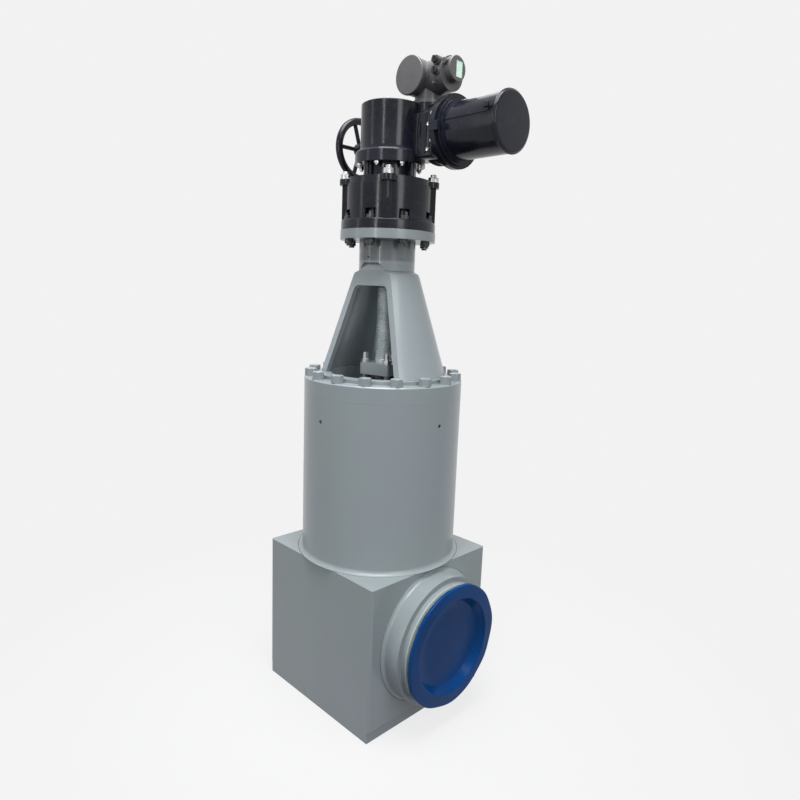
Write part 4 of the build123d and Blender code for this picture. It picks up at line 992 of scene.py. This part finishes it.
class VALVE_OT_stage(bpy.types.Operator):
    """Sets up the camera, the lamps and the pale floor"""
    bl_idname = "valve.stage"
    bl_label = "Set the stage"

    def execute(self, context):
        stage = settings("valve_stage")
        self.camera(stage)
        self.lamps()
        self.floor(stage)
        self.world(stage)
        context.scene.view_settings.view_transform = "Standard"
        return {"FINISHED"}

    def camera(self, stage):
        data = bpy.data.cameras.new("photo_camera")
        data.sensor_width = 36
        data.lens = stage.lens
        data.clip_end = 100
        camera = bpy.data.objects.new("photo_camera", data)
        bpy.context.scene.collection.objects.link(camera)
        yaw = stage.azimuth + stage.yaw
        forward = Vector((-sin(yaw) * cos(stage.pitch), cos(yaw) * cos(stage.pitch), -sin(stage.pitch)))
        level = Vector((cos(yaw), sin(yaw), 0))
        upright = level.cross(forward)
        right = cos(stage.roll) * level + sin(stage.roll) * upright
        up = cos(stage.roll) * upright - sin(stage.roll) * level
        turn = Matrix((right, up, -forward)).transposed().to_4x4()
        place = Vector((stage.distance * sin(stage.azimuth), -stage.distance * cos(stage.azimuth),
                        stage.height))
        camera.matrix_world = Matrix.Translation(place) @ turn
        bpy.context.scene.camera = camera

    def lamp(self, name, place, target, size, power):
        data = bpy.data.lights.new(name, "AREA")
        data.shape = "RECTANGLE"
        data.size, data.size_y = size
        data.energy = power
        lamp = bpy.data.objects.new(name, data)
        bpy.context.scene.collection.objects.link(lamp)
        aim = (Vector(target) - Vector(place)).to_track_quat("-Z", "Y")
        lamp.matrix_world = Matrix.Translation(place) @ aim.to_matrix().to_4x4()

    def lamps(self):
        self.lamp("overhead", (0.5, -0.6, 5.0), (0, 0, 1.0), (2.6, 2.6), 262)
        self.lamp("key", (4.2, -1.0, 3.4), (0, 0, 1.4), (1.2, 2.6), 56)
        self.lamp("fill", (-2.2, -3.8, 2.6), (0, 0, 1.4), (0.5, 2.8), 10)
        self.lamp("back", (-2.2, 1.8, 4.7), (0.3, 0, 2.1), (1.8, 1.8), 17)
        self.lamp("strip", (1.2, -3.8, 2.8), (0, 0, 1.9), (0.16, 2.4), 26)

    def floor(self, stage):
        bm = bmesh.new()
        bmesh.ops.create_grid(bm, x_segments=1, y_segments=1, size=40)
        mesh = bpy.data.meshes.new("floor")
        bm.to_mesh(mesh)
        bm.free()
        floor = bpy.data.objects.new("floor", mesh)
        bpy.context.scene.collection.objects.link(floor)
        finish = Finish("pale_floor")
        seen = self.seen_rays(finish.nodes, finish.links)
        finish.set(Roughness=0.9)
        bounce = shade(stage.backdrop, floor_bounce)
        finish.to("Base Color", finish.blend(seen, bounce, tuple(stage.backdrop)))
        glow = finish.nodes.new("ShaderNodeEmission")
        glow.inputs["Color"].default_value = tuple(stage.backdrop)
        away = finish.nodes.new("ShaderNodeVectorMath")
        away.operation = "LENGTH"
        finish.links.new(finish.place, away.inputs[0])
        share = finish.spread(away.outputs["Value"], floor_glow, 1, glow_near, glow_far)
        mix = finish.nodes.new("ShaderNodeMixShader")
        finish.links.new(finish.times(share, seen), mix.inputs[0])
        finish.links.new(finish.shader.outputs[0], mix.inputs[1])
        finish.links.new(glow.outputs[0], mix.inputs[2])
        finish.links.new(mix.outputs[0], finish.output.inputs["Surface"])
        mesh.materials.append(finish.material)

    def seen_rays(self, nodes, links):
        """1 where the camera sees the backdrop itself, in gloss or through glass."""
        path = nodes.new("ShaderNodeLightPath")
        seen = path.outputs["Is Camera Ray"]
        for kind in ("Is Glossy Ray", "Is Transmission Ray"):
            either = nodes.new("ShaderNodeMath")
            either.operation = "MAXIMUM"
            links.new(seen, either.inputs[0])
            links.new(path.outputs[kind], either.inputs[1])
            seen = either.outputs[0]
        return seen

    def world(self, stage):
        world = bpy.data.worlds.new("studio")
        world.use_nodes = True
        bpy.context.scene.world = world
        nodes, links = world.node_tree.nodes, world.node_tree.links
        nodes.clear()
        output = nodes.new("ShaderNodeOutputWorld")
        seen = nodes.new("ShaderNodeBackground")
        seen.inputs["Color"].default_value = tuple(stage.backdrop)
        seen.inputs["Strength"].default_value = 1.0
        light = nodes.new("ShaderNodeBackground")
        light.inputs["Color"].default_value = sky_colour
        light.inputs["Strength"].default_value = sky_strength
        mix = nodes.new("ShaderNodeMixShader")
        links.new(self.seen_rays(nodes, links), mix.inputs[0])
        links.new(light.outputs[0], mix.inputs[1])
        links.new(seen.outputs[0], mix.inputs[2])
        links.new(mix.outputs[0], output.inputs["Surface"])


class VALVE_PT_sidebar(bpy.types.Panel):
    """Lists the steps that dress the valve"""
    bl_idname = "VALVE_PT_sidebar"
    bl_label = "Gate valve"
    bl_space_type = "VIEW_3D"
    bl_region_type = "UI"
    bl_category = "Valve"

    def draw(self, context):
        for step in steps:
            self.layout.operator(step.bl_idname)
        for group in property_groups:
            values = settings(group)
            box = self.layout.box()
            for name in values.__annotations__:
                box.prop(values, name)


property_groups = {
    "valve_paint": ValvePaint,
    "valve_stem": ValveStem,
    "valve_cap": ValveCap,
    "valve_arm": ValveArm,
    "valve_foot": ValveFoot,
    "valve_stage": ValveStage,
}
steps = (
    VALVE_OT_paint_nodes, VALVE_OT_end_caps, VALVE_OT_stem, VALVE_OT_arm_casting,
    VALVE_OT_foot_ring, VALVE_OT_stage,
)


def register():
    for group in property_groups.values():
        bpy.utils.register_class(group)
    for name, group in property_groups.items():
        setattr(bpy.types.Scene, name, bpy.props.PointerProperty(type=group))
    for step in steps:
        bpy.utils.register_class(step)
    bpy.utils.register_class(VALVE_PT_sidebar)


def unregister():
    bpy.utils.unregister_class(VALVE_PT_sidebar)
    for step in reversed(steps):
        bpy.utils.unregister_class(step)
    for name in property_groups:
        delattr(bpy.types.Scene, name)
    for group in reversed(property_groups.values()):
        bpy.utils.unregister_class(group)


def main():
    register()
    for step in steps:
        area, action = step.bl_idname.split(".")
        getattr(getattr(bpy.ops, area), action)()


if __name__ == "__main__":
    main()
